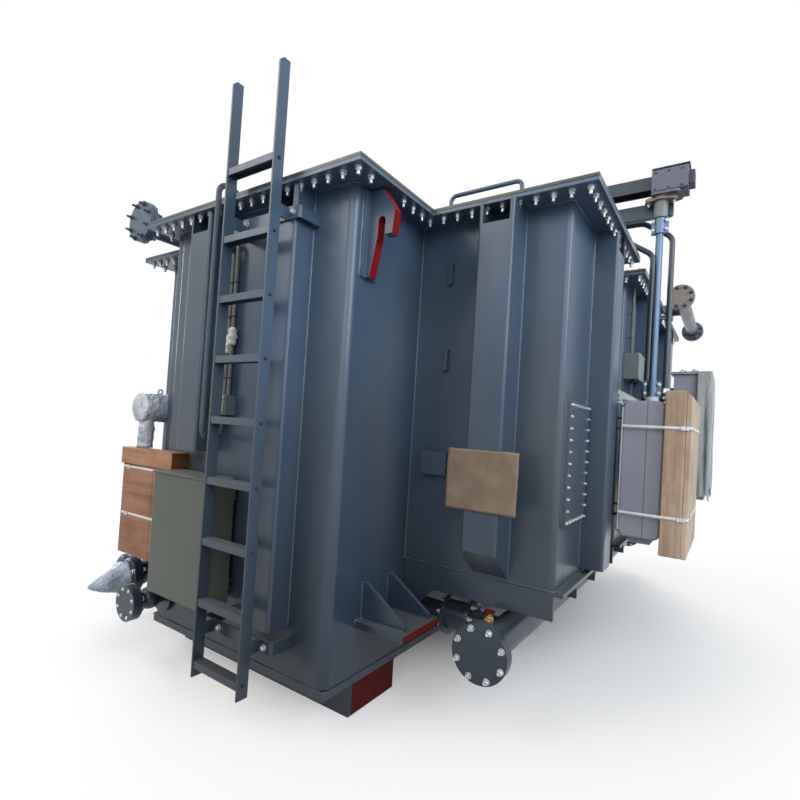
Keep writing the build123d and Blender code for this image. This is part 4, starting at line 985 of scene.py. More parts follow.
wall_lines = []
for wings, wall, far in ((right_wings, core_high.x, 1), (left_wings, core_low.x, 0)):
    for corners in wings:
        low, high = corners
        outer = corners[far].x
        for y in (low.y, high.y):
            wall_lines.append([(wall, y, FLOOR_Z), (wall, y, Z_TOP)])
        floor = ((wall, low.y), (outer, low.y), (outer, high.y), (wall, high.y))
        wall_lines.append([(x, y, FLOOR_Z) for x, y in floor])
flange_line = [(p.x, p.y, Z_TOP) for p in comb_loop(0.0)]
base = ((core_low.x, core_low.y), (core_high.x, core_low.y), (core_high.x, core_high.y), (core_low.x, core_high.y))
base_line = [(x, y, core_low.z) for x, y in base]
wall_lines += [flange_line + flange_line[:1], base_line + base_line[:1]]
weld_piece("wall_welds", wall_lines)

# %% [markdown]
# The same beads hold the fittings: the doubling strips behind the lugs, the cover's frame, the jacking pads with
# their gussets and the base beams. A closed line starts again at its first point.

# %% Welds of lugs, pads and beams
DOUBLER_HALF = 0.06
GUSSET_SPACING = 0.219
GUSSET_HALF = 0.011
GUSSET_NOSE = 0.026
PAD_T = 0.034
FITTING_BEAD = 0.0055
BASE_BEAMS = ("base_beam_front", "base_beam_middle", "base_beam_rear")


def rectangle_line(low, high, axis, place):
    """All round a box on a wall."""
    line = u_line(low, high, axis, place)
    return line + line[:1]


fitting_lines = []
for low, high in lugs:
    wall = core_high.x if low.x > 0 else core_low.x
    middle = (low.y + high.y) / 2
    strip_low = Vector((0.0, middle - DOUBLER_HALF, low.z))
    strip_high = Vector((0.0, middle + DOUBLER_HALF, high.z))
    fitting_lines.append(rectangle_line(strip_low, strip_high, 0, wall))
fitting_lines.append(rectangle_line(*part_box("side_cover_plate"), 0, right_wings[0][1].x))
for low, high in loose_boxes("jacking_pads"):
    side = 1 if low.x > 0 else -1
    wall = core_high.x if side > 0 else core_low.x
    tip = (high.x if side > 0 else low.x) - side * GUSSET_NOSE
    top = low.z + PAD_T
    middle = (low.y + high.y) / 2
    fitting_lines.append(rectangle_line(low, Vector((high.x, high.y, top)), 0, wall))
    for y in (middle - GUSSET_SPACING / 2, middle + GUSSET_SPACING / 2):
        for edge in (y - GUSSET_HALF, y + GUSSET_HALF):
            fitting_lines.append([(wall, edge, high.z), (wall, edge, top), (tip, edge, top)])
for name in BASE_BEAMS:
    low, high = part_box(name)
    for y in (low.y, high.y):
        fitting_lines.append([(low.x, y, high.z), (high.x, y, high.z)])
weld_piece("fitting_welds", fitting_lines, FITTING_BEAD)

# %% [markdown]
# The red marks are thin skins: the faces to be painted are copied off the solid and given the thickness of a
# coat. A test on each face's middle and direction picks them, so a mark follows its solid wherever it goes.

# %% Red marks
COAT = 0.0007
PAD_REACH = 0.28
LUG_CLEAR = 0.02


def skin(name, source, wanted, material, slot):
    """Copy the faces of a solid that pass a test, lifted by a coat's thickness."""
    shape = bmesh.new()
    shape.from_mesh(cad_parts[source].data)
    drop = [f for f in shape.faces if not wanted(f.calc_center_median(), f.normal)]
    bmesh.ops.delete(shape, geom=drop, context="FACES")
    bmesh.ops.remove_doubles(shape, verts=shape.verts, dist=SAME_POINT)
    lifted = bmesh.ops.extrude_face_region(shape, geom=list(shape.faces))["geom"]
    shape.normal_update()
    for vert in [part for part in lifted if isinstance(part, bmesh.types.BMVert)]:
        vert.co += vert.normal * COAT
    made = piece_from(name, mesh_of(shape), material, slot=slot)
    print(name, "faces:", len(made.data.polygons))
    return made


def on_beam_end(middle, normal):
    return abs(normal.x) > 0.9


def on_pad_end(middle, normal):
    return abs(normal.x) > 0.99 and abs(middle.x) > core_high.x + PAD_REACH


def on_lug_edge(middle, normal):
    outward = normal.x if middle.x > 0 else -normal.x
    return outward > 0.2 and abs(normal.y) < 0.2 and abs(middle.x) > core_high.x + LUG_CLEAR


for name in BASE_BEAMS:
    skin("red_" + name, name, on_beam_end, marking_red, "tank_paint")
skin("red_pads", "jacking_pads", on_pad_end, marking_red, "tank_paint")
skin("red_lugs", "lifting_lugs", on_lug_edge, marking_red, "tank_paint")

# %% [markdown]
# Other parts of one solid have their own coat too: the primer on the rear header's blind, the pale rim and ears
# of the drive cabinet's back plate, and the gearbox's neck and end cap. They are skins like the red marks.

# %% Other coats
BACK_PLATE_DEPTH = 0.2125
GEAR_NECK = 0.12
GEAR_CAP = 0.0295
HAIR = 0.0005

blind_y = end_disc("right_upper_header", 1, -1)[0].y
drive_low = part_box("drive_cabinet")[0]
drive_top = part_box("oil_pipes")[0].z
guard_low, guard_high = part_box("drive_guard_board")
back_plate_x = guard_low.x - BACK_PLATE_DEPTH


def on_rear_blind(middle, normal):
    return normal.y < -0.99 and abs(middle.y - blind_y) < 2 * HAIR


def on_plate_rim(middle, normal):
    return middle.z > drive_top + HAIR or middle.x < back_plate_x or middle.y < drive_low.y + HAIR


def on_gear_neck(middle, normal):
    return middle.z < gear_low.z + GEAR_NECK and normal.z > -0.5


def on_gear_cap(middle, normal):
    return middle.x > gear_high.x - GEAR_CAP


skin("rear_blind_primer", "right_upper_header", on_rear_blind, primer_tan, "tank_paint")
skin("plate_rim_coat", "drive_cabinet", on_plate_rim, ear_grey, "drive_grey")
skin("gear_neck_coat", "bevel_gearbox", on_gear_neck, box_grey, "drive_grey")
skin("gear_cap_coat", "bevel_gearbox", on_gear_cap, cap_navy, "drive_grey")

# %% [markdown]
# The packing is carpentry. Boards are boxes, but no two edges of a sawn board are the same: each gets a small
# bevel, and noise moves its points by a millimetre or so. A scaled cube would be quicker and would look like
# plastic, so a board is built of rounded sections along its length.

# %% Sawn boards
WANDER_SCALE, SEED_STEP = 3.0, 7.3


def bridge(shape, one, two):
    """Close the band between two loops of points, and give its faces."""
    corners = zip(one, one[1:] + one[:1], two[1:] + two[:1], two)
    return [shape.faces.new(four) for four in corners]


def board(shape, low, high, bevel=0.003, steps=8, wander=0.0012, seed=0, slot=0):
    """Add a sawn board between two corners: rounded sections along its longest side, each a little uneven."""
    low, high = Vector(low), Vector(high)
    size = high - low
    run = max(range(3), key=lambda axis: size[axis])
    wide, deep = (run + 1) % 3, (run + 2) % 3
    stops = [(0.0, bevel), (bevel, 0.0)]
    stops += [(size[run] * step / steps, 0.0) for step in range(1, steps)]
    stops += [(size[run] - bevel, 0.0), (size[run], bevel)]
    loops = []
    for place, inset in stops:
        near, far_wide, far_deep = inset, size[wide] - inset, size[deep] - inset
        outline = ((near, near + bevel), (near + bevel, near), (far_wide - bevel, near), (far_wide, near + bevel),
                   (far_wide, far_deep - bevel), (far_wide - bevel, far_deep), (near + bevel, far_deep),
                   (near, far_deep - bevel))
        middle = (low + high) / 2
        middle[run] = low[run] + place
        loop = []
        for across, depth in outline:
            point = low.copy()
            point[run] += place
            point[wide] += across
            point[deep] += depth
            pull = abs(noise.noise(point * WANDER_SCALE + Vector((seed * SEED_STEP, 0.0, 0.0)))) * wander
            loop.append(shape.verts.new(point + (middle - point).normalized() * pull))
        loops.append(loop)
    faces = [shape.faces.new(loops[0]), shape.faces.new(loops[-1])]
    for one, two in zip(loops, loops[1:]):
        faces += bridge(shape, one, two)
    for face in faces:
        face.material_index = slot


def carpentry(name, shape, materials, slot, stands_for):
    """Make boards into one piece that stands for a plain solid."""
    mesh = mesh_of(shape)
    piece = piece_from(name, mesh, slot=slot)
    for material in materials:
        mesh.materials.append(material)
    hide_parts(stands_for)
    print(name, "faces:", len(mesh.polygons))


print("board helper ready")

# %% [markdown]
# The crate at the front left corner is knocked together from plywood with a heavy beam on top. Its boards stay
# in one piece that stands for the plain solid.

# %% Crate
BEAM_HEIGHT = 0.104
BEAM_OUT = 0.012
BEAM_BEVEL, END_BEVEL = 0.005, 0.001
END_T = 0.004
PANEL_T = 0.018
PANEL_SPLIT = 0.62
PANEL_GAP, PANEL_SHORT = 0.002, 0.004
crate_low, crate_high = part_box("front_crate")
beam_foot = crate_high.z - BEAM_HEIGHT
body_front = crate_low.y + BEAM_OUT
body_left = crate_low.x + BEAM_OUT
inner_front = body_front + PANEL_T
panel_split = body_left + PANEL_SPLIT * (crate_high.x - body_left)
beam_end = crate_high.x - END_T
crate = bmesh.new()
board(crate, (body_left, body_front, crate_low.z), (panel_split, inner_front, beam_foot), seed=1)
board(crate, (panel_split + PANEL_GAP, body_front, crate_low.z + PANEL_SHORT), (crate_high.x, inner_front, beam_foot),
      seed=2)
for number, x in enumerate((body_left, crate_high.x - PANEL_T)):
    board(crate, (x, inner_front, crate_low.z), (x + PANEL_T, crate_high.y, beam_foot), seed=3 + number)
board(crate, (body_left + PANEL_T, inner_front, crate_low.z),
      (crate_high.x - PANEL_T, crate_high.y, crate_low.z + PANEL_T), seed=5)
board(crate, (crate_low.x, crate_low.y, beam_foot), (beam_end, crate_high.y, crate_high.z), BEAM_BEVEL, seed=6, slot=1)
board(crate, (beam_end, crate_low.y, beam_foot), crate_high, END_BEVEL, seed=7, slot=2)
carpentry("crate_boards", crate, (plywood, beam_wood, end_grain), "crate_plywood", "front_crate")

# %% [markdown]
# The drive cabinet's door is covered for the road by a frame of posts with upright planks nailed on its outer
# side. The planks' top edge is cut back to a slope. Leaving gaps of a few millimetres between the planks and
# giving each its own height makes it read as carpentry.

# %% Wooden guard
PLANKS = 6
PLANK_T = 0.026
PLANK_GAP, PLANK_DROP = 0.001, 0.004
POST_WIDTH, POST_DROP = 0.11, 0.006
RAIL_FOOT, RAIL_TOP = 0.06, 0.14
RAIL_WIDTH, RAIL_BACK = 0.09, 0.02
SLOPE = 0.038

guard = bmesh.new()
plank_in = guard_high.x - PLANK_T
last_post = guard_high.y - POST_WIDTH
for number, y in enumerate((guard_low.y, (guard_low.y + last_post) / 2, last_post)):
    board(guard, (guard_low.x, y, guard_low.z), (plank_in, y + POST_WIDTH, guard_high.z - POST_DROP), 0.004, 10, 0.002,
          seed=20 + number)
for number, z in enumerate((guard_low.z + RAIL_FOOT, guard_high.z - RAIL_TOP)):
    board(guard, (guard_low.x + RAIL_BACK, guard_low.y + POST_WIDTH, z), (plank_in, last_post, z + RAIL_WIDTH),
          seed=30 + number)
plank_width = (guard_high.y - guard_low.y) / PLANKS
for number in range(PLANKS):
    y = guard_low.y + number * plank_width
    drop = PLANK_DROP * (number % 3)
    board(guard, (plank_in, y + PLANK_GAP, guard_low.z + drop),
          (guard_high.x, y + plank_width - PLANK_GAP, guard_high.z - drop), 0.003, 12, 0.0018, seed=40 + number, slot=1)
for vert in guard.verts:
    over = vert.co.x - (guard_high.x - SLOPE) + vert.co.z - guard_high.z
    if over > 0.0:
        vert.co.z -= over
carpentry("guard_planks", guard, (pine, pale_pine), "guard_timber", "drive_guard_board")

# %% [markdown]
# Two nails hold each end of a plank, a little to one side and then the other. The bolt tree makes them small.

# %% Nails
NAIL = 0.006
NAIL_SUNK = 0.0015
NAIL_ENDS = (0.1, 0.12)
NAIL_SWING = 0.03

nail_rows = []
for number in range(PLANKS):
    y = guard_low.y + (number + 0.5) * plank_width + NAIL_SWING * (number % 2 - 0.5)
    for z in [guard_low.z + end for end in NAIL_ENDS] + [guard_high.z - end for end in NAIL_ENDS]:
        nail_rows.append((Vector((guard_high.x - NAIL_SUNK, y, z)), RIGHT))
bolt_piece("guard_nails", nail_rows, NAIL, thread=0.0005)

# %% [markdown]
# Straps hold crate and guard. A strap is a flat band pulled tight over corners, so the tree rounds the corners of
# a polyline and sweeps a flat rectangle along it, with the band's width kept upright.

# %% Straps
STRAP_WIDTH = 0.017
STRAP_T = 0.0012
STRAP_BEND = 0.004
STRAP_AIR = 0.0004
CRATE_STRAP_FOOT, UNDER_BEAM = 0.25, 0.018
GUARD_STRAPS = (1.058, 1.535)
STRAP_BACK = 0.208


def strap_tree():
    """A flat band along each polyline, bent round its corners."""
    tree, given = new_tree("straps", Width="Float", Thickness="Float", Bend="Float", Material="Material")
    curve = node(tree, "GeometryNodeMeshToCurve", {"Mesh": given["Geometry"]}).outputs[0]
    inputs = {"Curve": curve, "Count": 5, "Radius": given["Bend"]}
    bent = node(tree, "GeometryNodeFilletCurve", inputs, mode="POLY").outputs[0]
    upright = node(tree, "GeometryNodeSetCurveNormal", {"Curve": bent}, mode="Z_UP").outputs[0]
    inputs = {"Width": given["Thickness"], "Height": given["Width"]}
    flat = node(tree, "GeometryNodeCurvePrimitiveQuadrilateral", inputs).outputs[0]
    inputs = {"Curve": upright, "Profile Curve": flat, "Fill Caps": True}
    band = node(tree, "GeometryNodeCurveToMesh", inputs).outputs[0]
    return closed_tree(tree, band, given["Material"])


straps = strap_tree()


def strap_piece(name, paths, levels):
    """Straps along a path seen from above, one at each level."""
    lines = [[(x, y, z) for x, y in paths] for z in levels]
    grown(name, straps, lines_mesh(lines), strap_white, Width=STRAP_WIDTH, Thickness=STRAP_T, Bend=STRAP_BEND)
    print(name, "bands:", len(lines))


strap_gap = STRAP_T / 2 + STRAP_AIR
crate_straps = (crate_low.z + CRATE_STRAP_FOOT, beam_foot - UNDER_BEAM)
crate_path = [(body_left - strap_gap, crate_high.y), (body_left - strap_gap, body_front - strap_gap),
              (crate_high.x, body_front - strap_gap)]
strap_piece("crate_straps", crate_path, crate_straps)
near_half = [(guard_low.x - STRAP_BACK, drive_low.y - strap_gap), (guard_low.x, guard_low.y - strap_gap),
             (guard_high.x + strap_gap, guard_low.y - strap_gap)]
far_half = [(x, guard_low.y + guard_high.y - y) for x, y in reversed(near_half)]
strap_piece("guard_straps", near_half + far_half, GUARD_STRAPS)

# %% [markdown]
# Each strap is closed by a crimped steel buckle, a folded sleeve a little wider than the band. Three shallow
# blocks in a row, the middle one lower, read as the pressed grooves.

# %% Buckles
CRIMPS = ((-0.013, 0.0045), (0.0, 0.0032), (0.013, 0.0045))
CRIMP_LENGTH, CRIMP_BEVEL = 0.0125, 0.0008
SLEEVE_OVER = 0.006
ON_CRATE, ON_GUARD_SIDE, ON_GUARD_FACE = 0.075, 0.03, 0.12


def buckle(shape, place, along, out):
    """A crimped sleeve round a strap: a shallow block with two pressed grooves."""
    side = along.cross(out)
    turn = Matrix((along, side, out)).transposed().to_4x4()
    for step, height in CRIMPS:
        size = Matrix.Diagonal((CRIMP_LENGTH, STRAP_WIDTH + SLEEVE_OVER, height, 1.0))
        centre = place + along * step + out * (height / 2)
        made = bmesh.ops.create_cube(shape, size=1.0, matrix=Matrix.Translation(centre) @ turn @ size)["verts"]
        edges = list({edge for vert in made for edge in vert.link_edges})
        bmesh.ops.bevel(shape, geom=edges, offset=CRIMP_BEVEL, segments=1, affect="EDGES")


over_strap = 2 * strap_gap
buckles = bmesh.new()
for z in crate_straps:
    buckle(buckles, Vector((body_left + ON_CRATE, body_front - over_strap, z)), RIGHT, FRONT)
for z in GUARD_STRAPS:
    buckle(buckles, Vector((guard_high.x - ON_GUARD_SIDE, guard_low.y - over_strap, z)), RIGHT, FRONT)
    buckle(buckles, Vector((guard_high.x + over_strap, guard_low.y + ON_GUARD_FACE, z)), BACK, RIGHT)
buckle_piece = piece_from("strap_buckles", mesh_of(buckles), zinc, slot="zinc")
print("buckle faces:", len(buckle_piece.data.polygons))

# %% [markdown]
# Card and loose film are thin sheets: a front, a back and a rim. A solidified plane would do for a flat one. Here a
# helper asks a function for the point and the normal at each place of a grid, so one formula describes a sheet.

# %% Thin sheets
def thin_sheet(columns, rows, place, thickness):
    """A closed sheet over a grid: place gives the front point of each column and row share, and its normal."""
    shape = bmesh.new()
    sides = []
    for back in (0.0, 1.0):
        grid = []
        for row in range(rows + 1):
            line = []
            for column in range(columns + 1):
                point, normal = place(column / columns, row / rows)
                line.append(shape.verts.new(point - normal * thickness * back))
            grid.append(line)
        sides.append(grid)
    for grid in sides:
        for row in range(rows):
            for column in range(columns):
                shape.faces.new((grid[row][column], grid[row][column + 1], grid[row + 1][column + 1],
                                 grid[row + 1][column]))
    rim = [(0, c) for c in range(columns)] + [(r, columns) for r in range(rows)]
    rim += [(rows, c) for c in range(columns, 0, -1)] + [(r, 0) for r in range(rows, 0, -1)]
    for (r0, c0), (r1, c1) in zip(rim, rim[1:] + rim[:1]):
        shape.faces.new((sides[0][r0][c0], sides[0][r1][c1], sides[1][r1][c1], sides[1][r0][c0]))
    return mesh_of(shape, smooth=True)


print("sheet helper ready")

# %% [markdown]
# A sheet of card is taped over the rating board. It is thin, has been wet and has dried again, so it bows away
# from its backing and one corner has curled. A grid of points moved by slow noise does that.

# %% Card over the rating board
CARD_T = 0.0045
CARD_OFF = 0.004
CARD_BOW, CARD_WAVE, CARD_CURL, CARD_RAGGED = 0.006, 0.004, 0.022, 0.0025
CURL_FROM = 1.55
card_low, card_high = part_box("rating_board")


def card_point(across, height):
    """A point of the bowed card, counted from its lower left corner."""
    x = card_low.x + across * (card_high.x - card_low.x)
    z = card_low.z + height * (card_high.z - card_low.z)
    bow = CARD_BOW * math.sin(math.pi * across) + CARD_WAVE * noise.noise(Vector((x * 9.0, z * 9.0, 2.0)))
    curl = CARD_CURL * max(0.0, across + (1.0 - height) - CURL_FROM) ** 1.2
    ragged = CARD_RAGGED * noise.noise(Vector((x * 40.0, z * 40.0, 5.0)))
    return Vector((x + ragged, card_low.y + CARD_OFF - abs(bow) - curl, z + ragged)), FRONT


card_piece = piece_from("rating_card", thin_sheet(30, 24, card_point, CARD_T), cardboard, slot="cardboard")
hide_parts("rating_board")
print("card faces:", len(card_piece.data.polygons))

# %% [markdown]
# A pipe end and a valve at the left are wrapped in film for the journey. Wrapping film pleats: it lies tight
# along some lines and stands off between them. A wrap is made of rings along an axis, and noise that changes
# fast round the ring and slowly along it lifts the points outwards, so the film never sinks into the metal.

# %% Wrapping helper
FILM = 0.001
PLEATS_ROUND, PLEATS_ALONG = 2.6, 0.34
FINE_PLEATS, FINE_SHARE = 2.7, 0.6
FULL_PLEAT_R = 0.04


def wrap(name, material, axis, rings, pleat, seed, around=72, tipped=False):
    """Film of one thickness round an axis, over rings of a centre and a radius, open at its ends or closed at its
    first by a tip; pleat is the lift of its folds."""
    shape = bmesh.new()
    layers = ([], [])
    for number, (centre, radius) in enumerate(rings):
        lifts = []
        for angle, way in ways_round(axis, around):
            sample = Vector((math.cos(angle) * PLEATS_ROUND, math.sin(angle) * PLEATS_ROUND,
                             number * PLEATS_ALONG + seed))
            fold = abs(noise.noise(sample)) + FINE_SHARE * abs(noise.noise(sample * FINE_PLEATS))
            lifts.append((way, radius + pleat * fold * min(1.0, radius / FULL_PLEAT_R)))
        for layer, depth in zip(layers, (0.0, FILM)):
            layer.append([shape.verts.new(centre + way * (lift - depth)) for way, lift in lifts])
    outer, inner = layers
    for layer in layers:
        for one, two in zip(layer, layer[1:]):
            bridge(shape, one, two)
    bridge(shape, outer[-1], inner[-1])
    if tipped:
        for layer, depth in zip(layers, (0.0, FILM)):
            tip = shape.verts.new(rings[0][0] + axis * depth)
            for step in range(around):
                shape.faces.new((layer[0][step], layer[0][(step + 1) % around], tip))
    else:
        bridge(shape, outer[0], inner[0])
    made = piece_from(name, mesh_of(shape, smooth=True), material, slot="clear_film")
    return made


print("wrapping helper ready, film", FILM * 1000, "mm thick")

# %% [markdown]
# The valve stands on the crate as a drum on a leg. White film bags its face and bulges forwards, bluish film
# covers the rest of the drum, and white film tied at every third turn goes round the leg.

# %% Wrapped valve
DRUM_R = 0.0875
BULGE = 0.026
BAG_TIP, BAG_OVER, BAG_STEP = 0.004, 0.003, 0.012
BAG_END, BAG_TUCK = 0.076, 0.006
BODY_START, BODY_STEP, BODY_OVER = 0.06, 0.014, 0.002
LEG_R = 0.0415
LEG_BACK, LEG_LIFT = 0.044, 0.0015
LEG_STEP, LEG_TIE = 0.02, 0.004
DRUM_PLEAT, LEG_PLEAT = 0.009, 0.007

valve_low, valve_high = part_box("wrapped_valve")
valve_radius = (valve_high.x - valve_low.x) / 2
valve_axis = Vector(((valve_low.x + valve_high.x) / 2, valve_low.y, valve_high.z - valve_radius))
bag_rings = []
for step in range(9):
    angle = math.pi / 2 * step / 8
    bag_rings.append((valve_axis + FRONT * BULGE * math.cos(angle), BAG_TIP + DRUM_R * math.sin(angle)))
bag_rings += [(valve_axis + BACK * BAG_STEP * step, DRUM_R + BAG_OVER) for step in range(1, 7)]
bag_rings.append((valve_axis + BACK * BAG_END, DRUM_R - BAG_TUCK))
wrap("valve_front_film", white_film, BACK, bag_rings, DRUM_PLEAT, 1.0, tipped=True)
body_rings = [(valve_axis + BACK * (BODY_START + BODY_STEP * step), DRUM_R + BODY_OVER * (step > 0))
              for step in range(14)]
wrap("valve_body_film", blue_film, BACK, body_rings, DRUM_PLEAT, 9.0)
leg_foot = Vector((valve_axis.x, valve_axis.y + LEG_BACK, crate_high.z + LEG_LIFT))
leg_rings = [(leg_foot + UP * LEG_STEP * step, LEG_R + LEG_TIE * (step % 3 == 0)) for step in range(10)]
wrap("valve_leg_film", white_film, UP, leg_rings, LEG_PLEAT, 4.0, 40)

# %% [markdown]
# The bag on the left header's end hangs forwards to a drooping point. Its rings shrink towards the point and
# sway from side to side, which keeps it from reading as a cone.

# %% Wrapped pipe end
CONE = 0.24
CONE_R, CONE_TIP = 0.1, 0.006
CONE_DROP, CONE_SWAY = -0.035, 0.012
CONE_TUCK = 0.002
CONE_RINGS = 14
CONE_PLEAT = 0.01

blind_centre = end_disc("left_lower_header", 1, -1)[0]
cone_rings = []
for step in range(CONE_RINGS):
    share = step / (CONE_RINGS - 1)
    sway = Vector((CONE_SWAY * math.sin(share * 5.0), 0.0, CONE_DROP * (1.0 - 0.6 * share)))
    centre = blind_centre + FRONT * (CONE * (1.0 - share) - CONE_TUCK) + sway
    cone_rings.append((centre, CONE_TIP + CONE_R * share ** 0.8))
wrap("pipe_end_film", blue_film, BACK, cone_rings, CONE_PLEAT, 21.0, tipped=True)

# %% [markdown]
# Loose film hangs over the second cabinet, torn at its lower edge by the wind. A grid of points is folded by noise
# that runs down the sheet, freer towards the lower edge, and the corner of the cabinet bends it.

# %% Hung film
CORNER_LAP, CORNER_BEND = 0.09, 0.02
FILM_OFF, FOLD_LIFT = 0.004, 0.03
ROOF_OFF = 0.003
HUNG_LENGTH, HUNG_SLANT = 0.95, 0.1
TEAR, FINE_TEAR = 0.16, 0.05


def film_sheet(name, columns, rows, place):
    """A thin film over a grid on the marshalling cabinet."""
    mesh = thin_sheet(columns, rows, place, FILM)
    made = piece_from(name, mesh, dull_film, slot="clear_film")
    first, last = place(0.0, 0.5)[0], place(1.0, 0.5)[0]


marshal_low, marshal_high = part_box("marshalling_cabinet")
panel_x = marshal_high.x
panel_y = marshal_low.y
side_length = marshal_high.y - marshal_low.y


def hung_point(along, height):
    """A point of the film that hangs over the roof's front right corner, counted from its torn lower edge."""
    run = along * (CORNER_LAP + side_length)
    folds = abs(noise.noise(Vector((run * 13.0, height * 0.9, 3.0))))
    folds += 0.2 * abs(noise.noise(Vector((run * 30.0, height * 2.5, 6.0))))
    lift = FILM_OFF + FOLD_LIFT * (1.0 - height) ** 0.4 * folds
    torn = TEAR * noise.noise(Vector((run * 7.0, 0.0, 8.0)))
    torn += FINE_TEAR * noise.noise(Vector((run * 31.0, 0.0, 2.0)))
    z = marshal_high.z + ROOF_OFF - (1.0 - height) * (HUNG_LENGTH + torn - HUNG_SLANT * along)
    if run < CORNER_LAP:
        return Vector((panel_x - CORNER_LAP + run, panel_y - lift, z)), FRONT
    corner = min(1.0, (run - CORNER_LAP) / CORNER_BEND)
    return Vector((panel_x + lift * corner, panel_y + run - CORNER_LAP, z)), RIGHT


film_sheet("hung_film", 90, 50, hung_point)

# %% [markdown]
# The rest of that film lies crumpled on the cabinet's roof. It is flat at its edges and heaped in the middle.

# %% Roof film
ROOF_EDGE = 0.01
HEAP = 0.075


def roof_point(across, along):
    """A point of the crumpled film on the cabinet's roof."""
    x = marshal_low.x + ROOF_EDGE + across * (marshal_high.x - marshal_low.x - 2 * ROOF_EDGE)
    y = marshal_low.y + ROOF_EDGE + along * (side_length - 2 * ROOF_EDGE)
    heap = math.sin(math.pi * across) * math.sin(math.pi * along)
    crumple = abs(noise.noise(Vector((x * 16.0, y * 11.0, 1.0))))
    crumple += 0.5 * abs(noise.noise(Vector((x * 37.0, y * 31.0, 4.0))))
    return Vector((x, y, marshal_high.z + ROOF_OFF + HEAP * heap * crumple)), UP


film_sheet("roof_film", 40, 56, roof_point)

# %% [markdown]
# The last things are fittings that are too small for the solids. A rod between two points with a number of sides
# is enough for most of them, and a bar bent to a ring makes handwheels and eyes.

# %% Rods and rings
def rod(shape, start, end, radius, sides=14):
    """A closed round bar between two points, added to a bmesh."""
    turn = (end - start).to_track_quat("Z", "Y").to_matrix().to_4x4()
    place = Matrix.Translation((start + end) / 2) @ turn
    bmesh.ops.create_cone(shape, cap_ends=True, segments=sides, radius1=radius, radius2=radius,
                          depth=(end - start).length, matrix=place)


def ring_bar(shape, centre, axis, radius, thick, around=28, sides=8):
    """A round bar bent to a ring, such as a small handwheel or an eye."""
    loops = []
    for angle, way in ways_round(axis, around):
        loop = []
        for side in range(sides):
            turn = math.tau * side / sides
            out = way * (radius + thick * math.cos(turn))
            loop.append(shape.verts.new(centre + out + axis * thick * math.sin(turn)))
        loops.append(loop)
    for number, loop in enumerate(loops):
        after = loops[(number + 1) % around]
        for side in range(sides):
            shape.faces.new((loop[side], after[side], after[(side + 1) % sides], loop[(side + 1) % sides]))


print("rods and rings ready")

# %% [markdown]
# Under the gearbox an oval bearing flange closes the neck round the shaft: two round ears with a bolt each and a
# disc between them.

# %% Bearing flange
NECK_DROP = 0.156
BEARING_T, DISC_INSET = 0.022, 0.0005
EAR_OUT, EAR_R = 0.048, 0.042
DISC_R = 0.056
BEARING_BOLT, BEARING_BOLT_OUT = 0.019, 0.068

neck = shaft_axis + UP * (gear_high.z - NECK_DROP)
bearing = bmesh.new()
for ear in (LEFT * EAR_OUT, RIGHT * EAR_OUT):
    rod(bearing, neck + ear + DOWN * BEARING_T, neck + ear, EAR_R, 28)
rod(bearing, neck + DOWN * (BEARING_T - DISC_INSET), neck + DOWN * DISC_INSET, DISC_R, 40)
piece_from("bearing_flange", mesh_of(bearing), flange_tan, slot="drive_grey")
bearing_rows = [(neck + side * BEARING_BOLT_OUT + DOWN * BEARING_T, DOWN) for side in (LEFT, RIGHT)]
bolt_piece("bearing_bolts", bearing_rows, BEARING_BOLT, thread=0.006)

# %% [markdown]
# Each oil pipe meets the drive cabinet in a cock between two unions. A union is a big nut, so the bolt tree makes
# it, and the cock's spindle and lever are two rods.

# %% Oil cocks
UNION = 0.05
UNION_HIGH, UNION_LOW = 0.086, 0.03
PIPE_IN = 0.026
SPINDLE_UP, SPINDLE_OUT, SPINDLE_R = 0.055, 0.05, 0.009
LEVER_FOOT = Vector((0.0, -0.046, 0.05))
LEVER_TIP = Vector((0.05, -0.05, 0.066))
LEVER_R = 0.005

union_rows = []
levers = bmesh.new()
for low, high in loose_boxes("oil_pipes"):
    pipe = Vector((high.x - PIPE_IN, (low.y + high.y) / 2, drive_top))
    union_rows += [(pipe + UP * UNION_HIGH, UP), (pipe + UP * UNION_LOW, DOWN)]
    rod(levers, pipe + UP * SPINDLE_UP, pipe + UP * SPINDLE_UP + FRONT * SPINDLE_OUT, SPINDLE_R)
    rod(levers, pipe + LEVER_FOOT, pipe + LEVER_TIP, LEVER_R, 10)
bolt_piece("oil_unions", union_rows, UNION, thread=0.002)
piece_from("oil_cock_levers", mesh_of(levers), zinc, slot="zinc")

# %% [markdown]
# On top of the right header, just behind its flange, sits a small brass purge valve with a red handwheel: two
# nuts at right angles for the body, a ring with two spokes for the wheel.

# %% Purge valve
PURGE_BACK, PURGE_UP = 0.1, 0.13
PURGE_NUT, PURGE_NOSE = 0.036, 0.012
WHEEL_UP, WHEEL_R, WHEEL_BAR = 0.042, 0.024, 0.0045
STEM_FOOT, STEM_TOP, STEM_R = 0.02, 0.046, 0.006
SPOKE_R = 0.003

purge = end_disc("right_lower_header", 1, -1)[0] + BACK * PURGE_BACK + UP * PURGE_UP
purge_nuts = [(purge, UP), (purge + FRONT * PURGE_NOSE, FRONT)]
bolt_piece("purge_valve_body", purge_nuts, PURGE_NUT, 0.012, brass, slot="zinc")
hub = purge + UP * WHEEL_UP
wheel = bmesh.new()
ring_bar(wheel, hub, UP, WHEEL_R, WHEEL_BAR)
rod(wheel, purge + UP * STEM_FOOT, purge + UP * STEM_TOP, STEM_R)
for way in (RIGHT, BACK):
    rod(wheel, hub - way * WHEEL_R, hub + way * WHEEL_R, SPOKE_R, 8)
piece_from("purge_wheel", mesh_of(wheel, smooth=True), marking_red, slot="tank_paint")

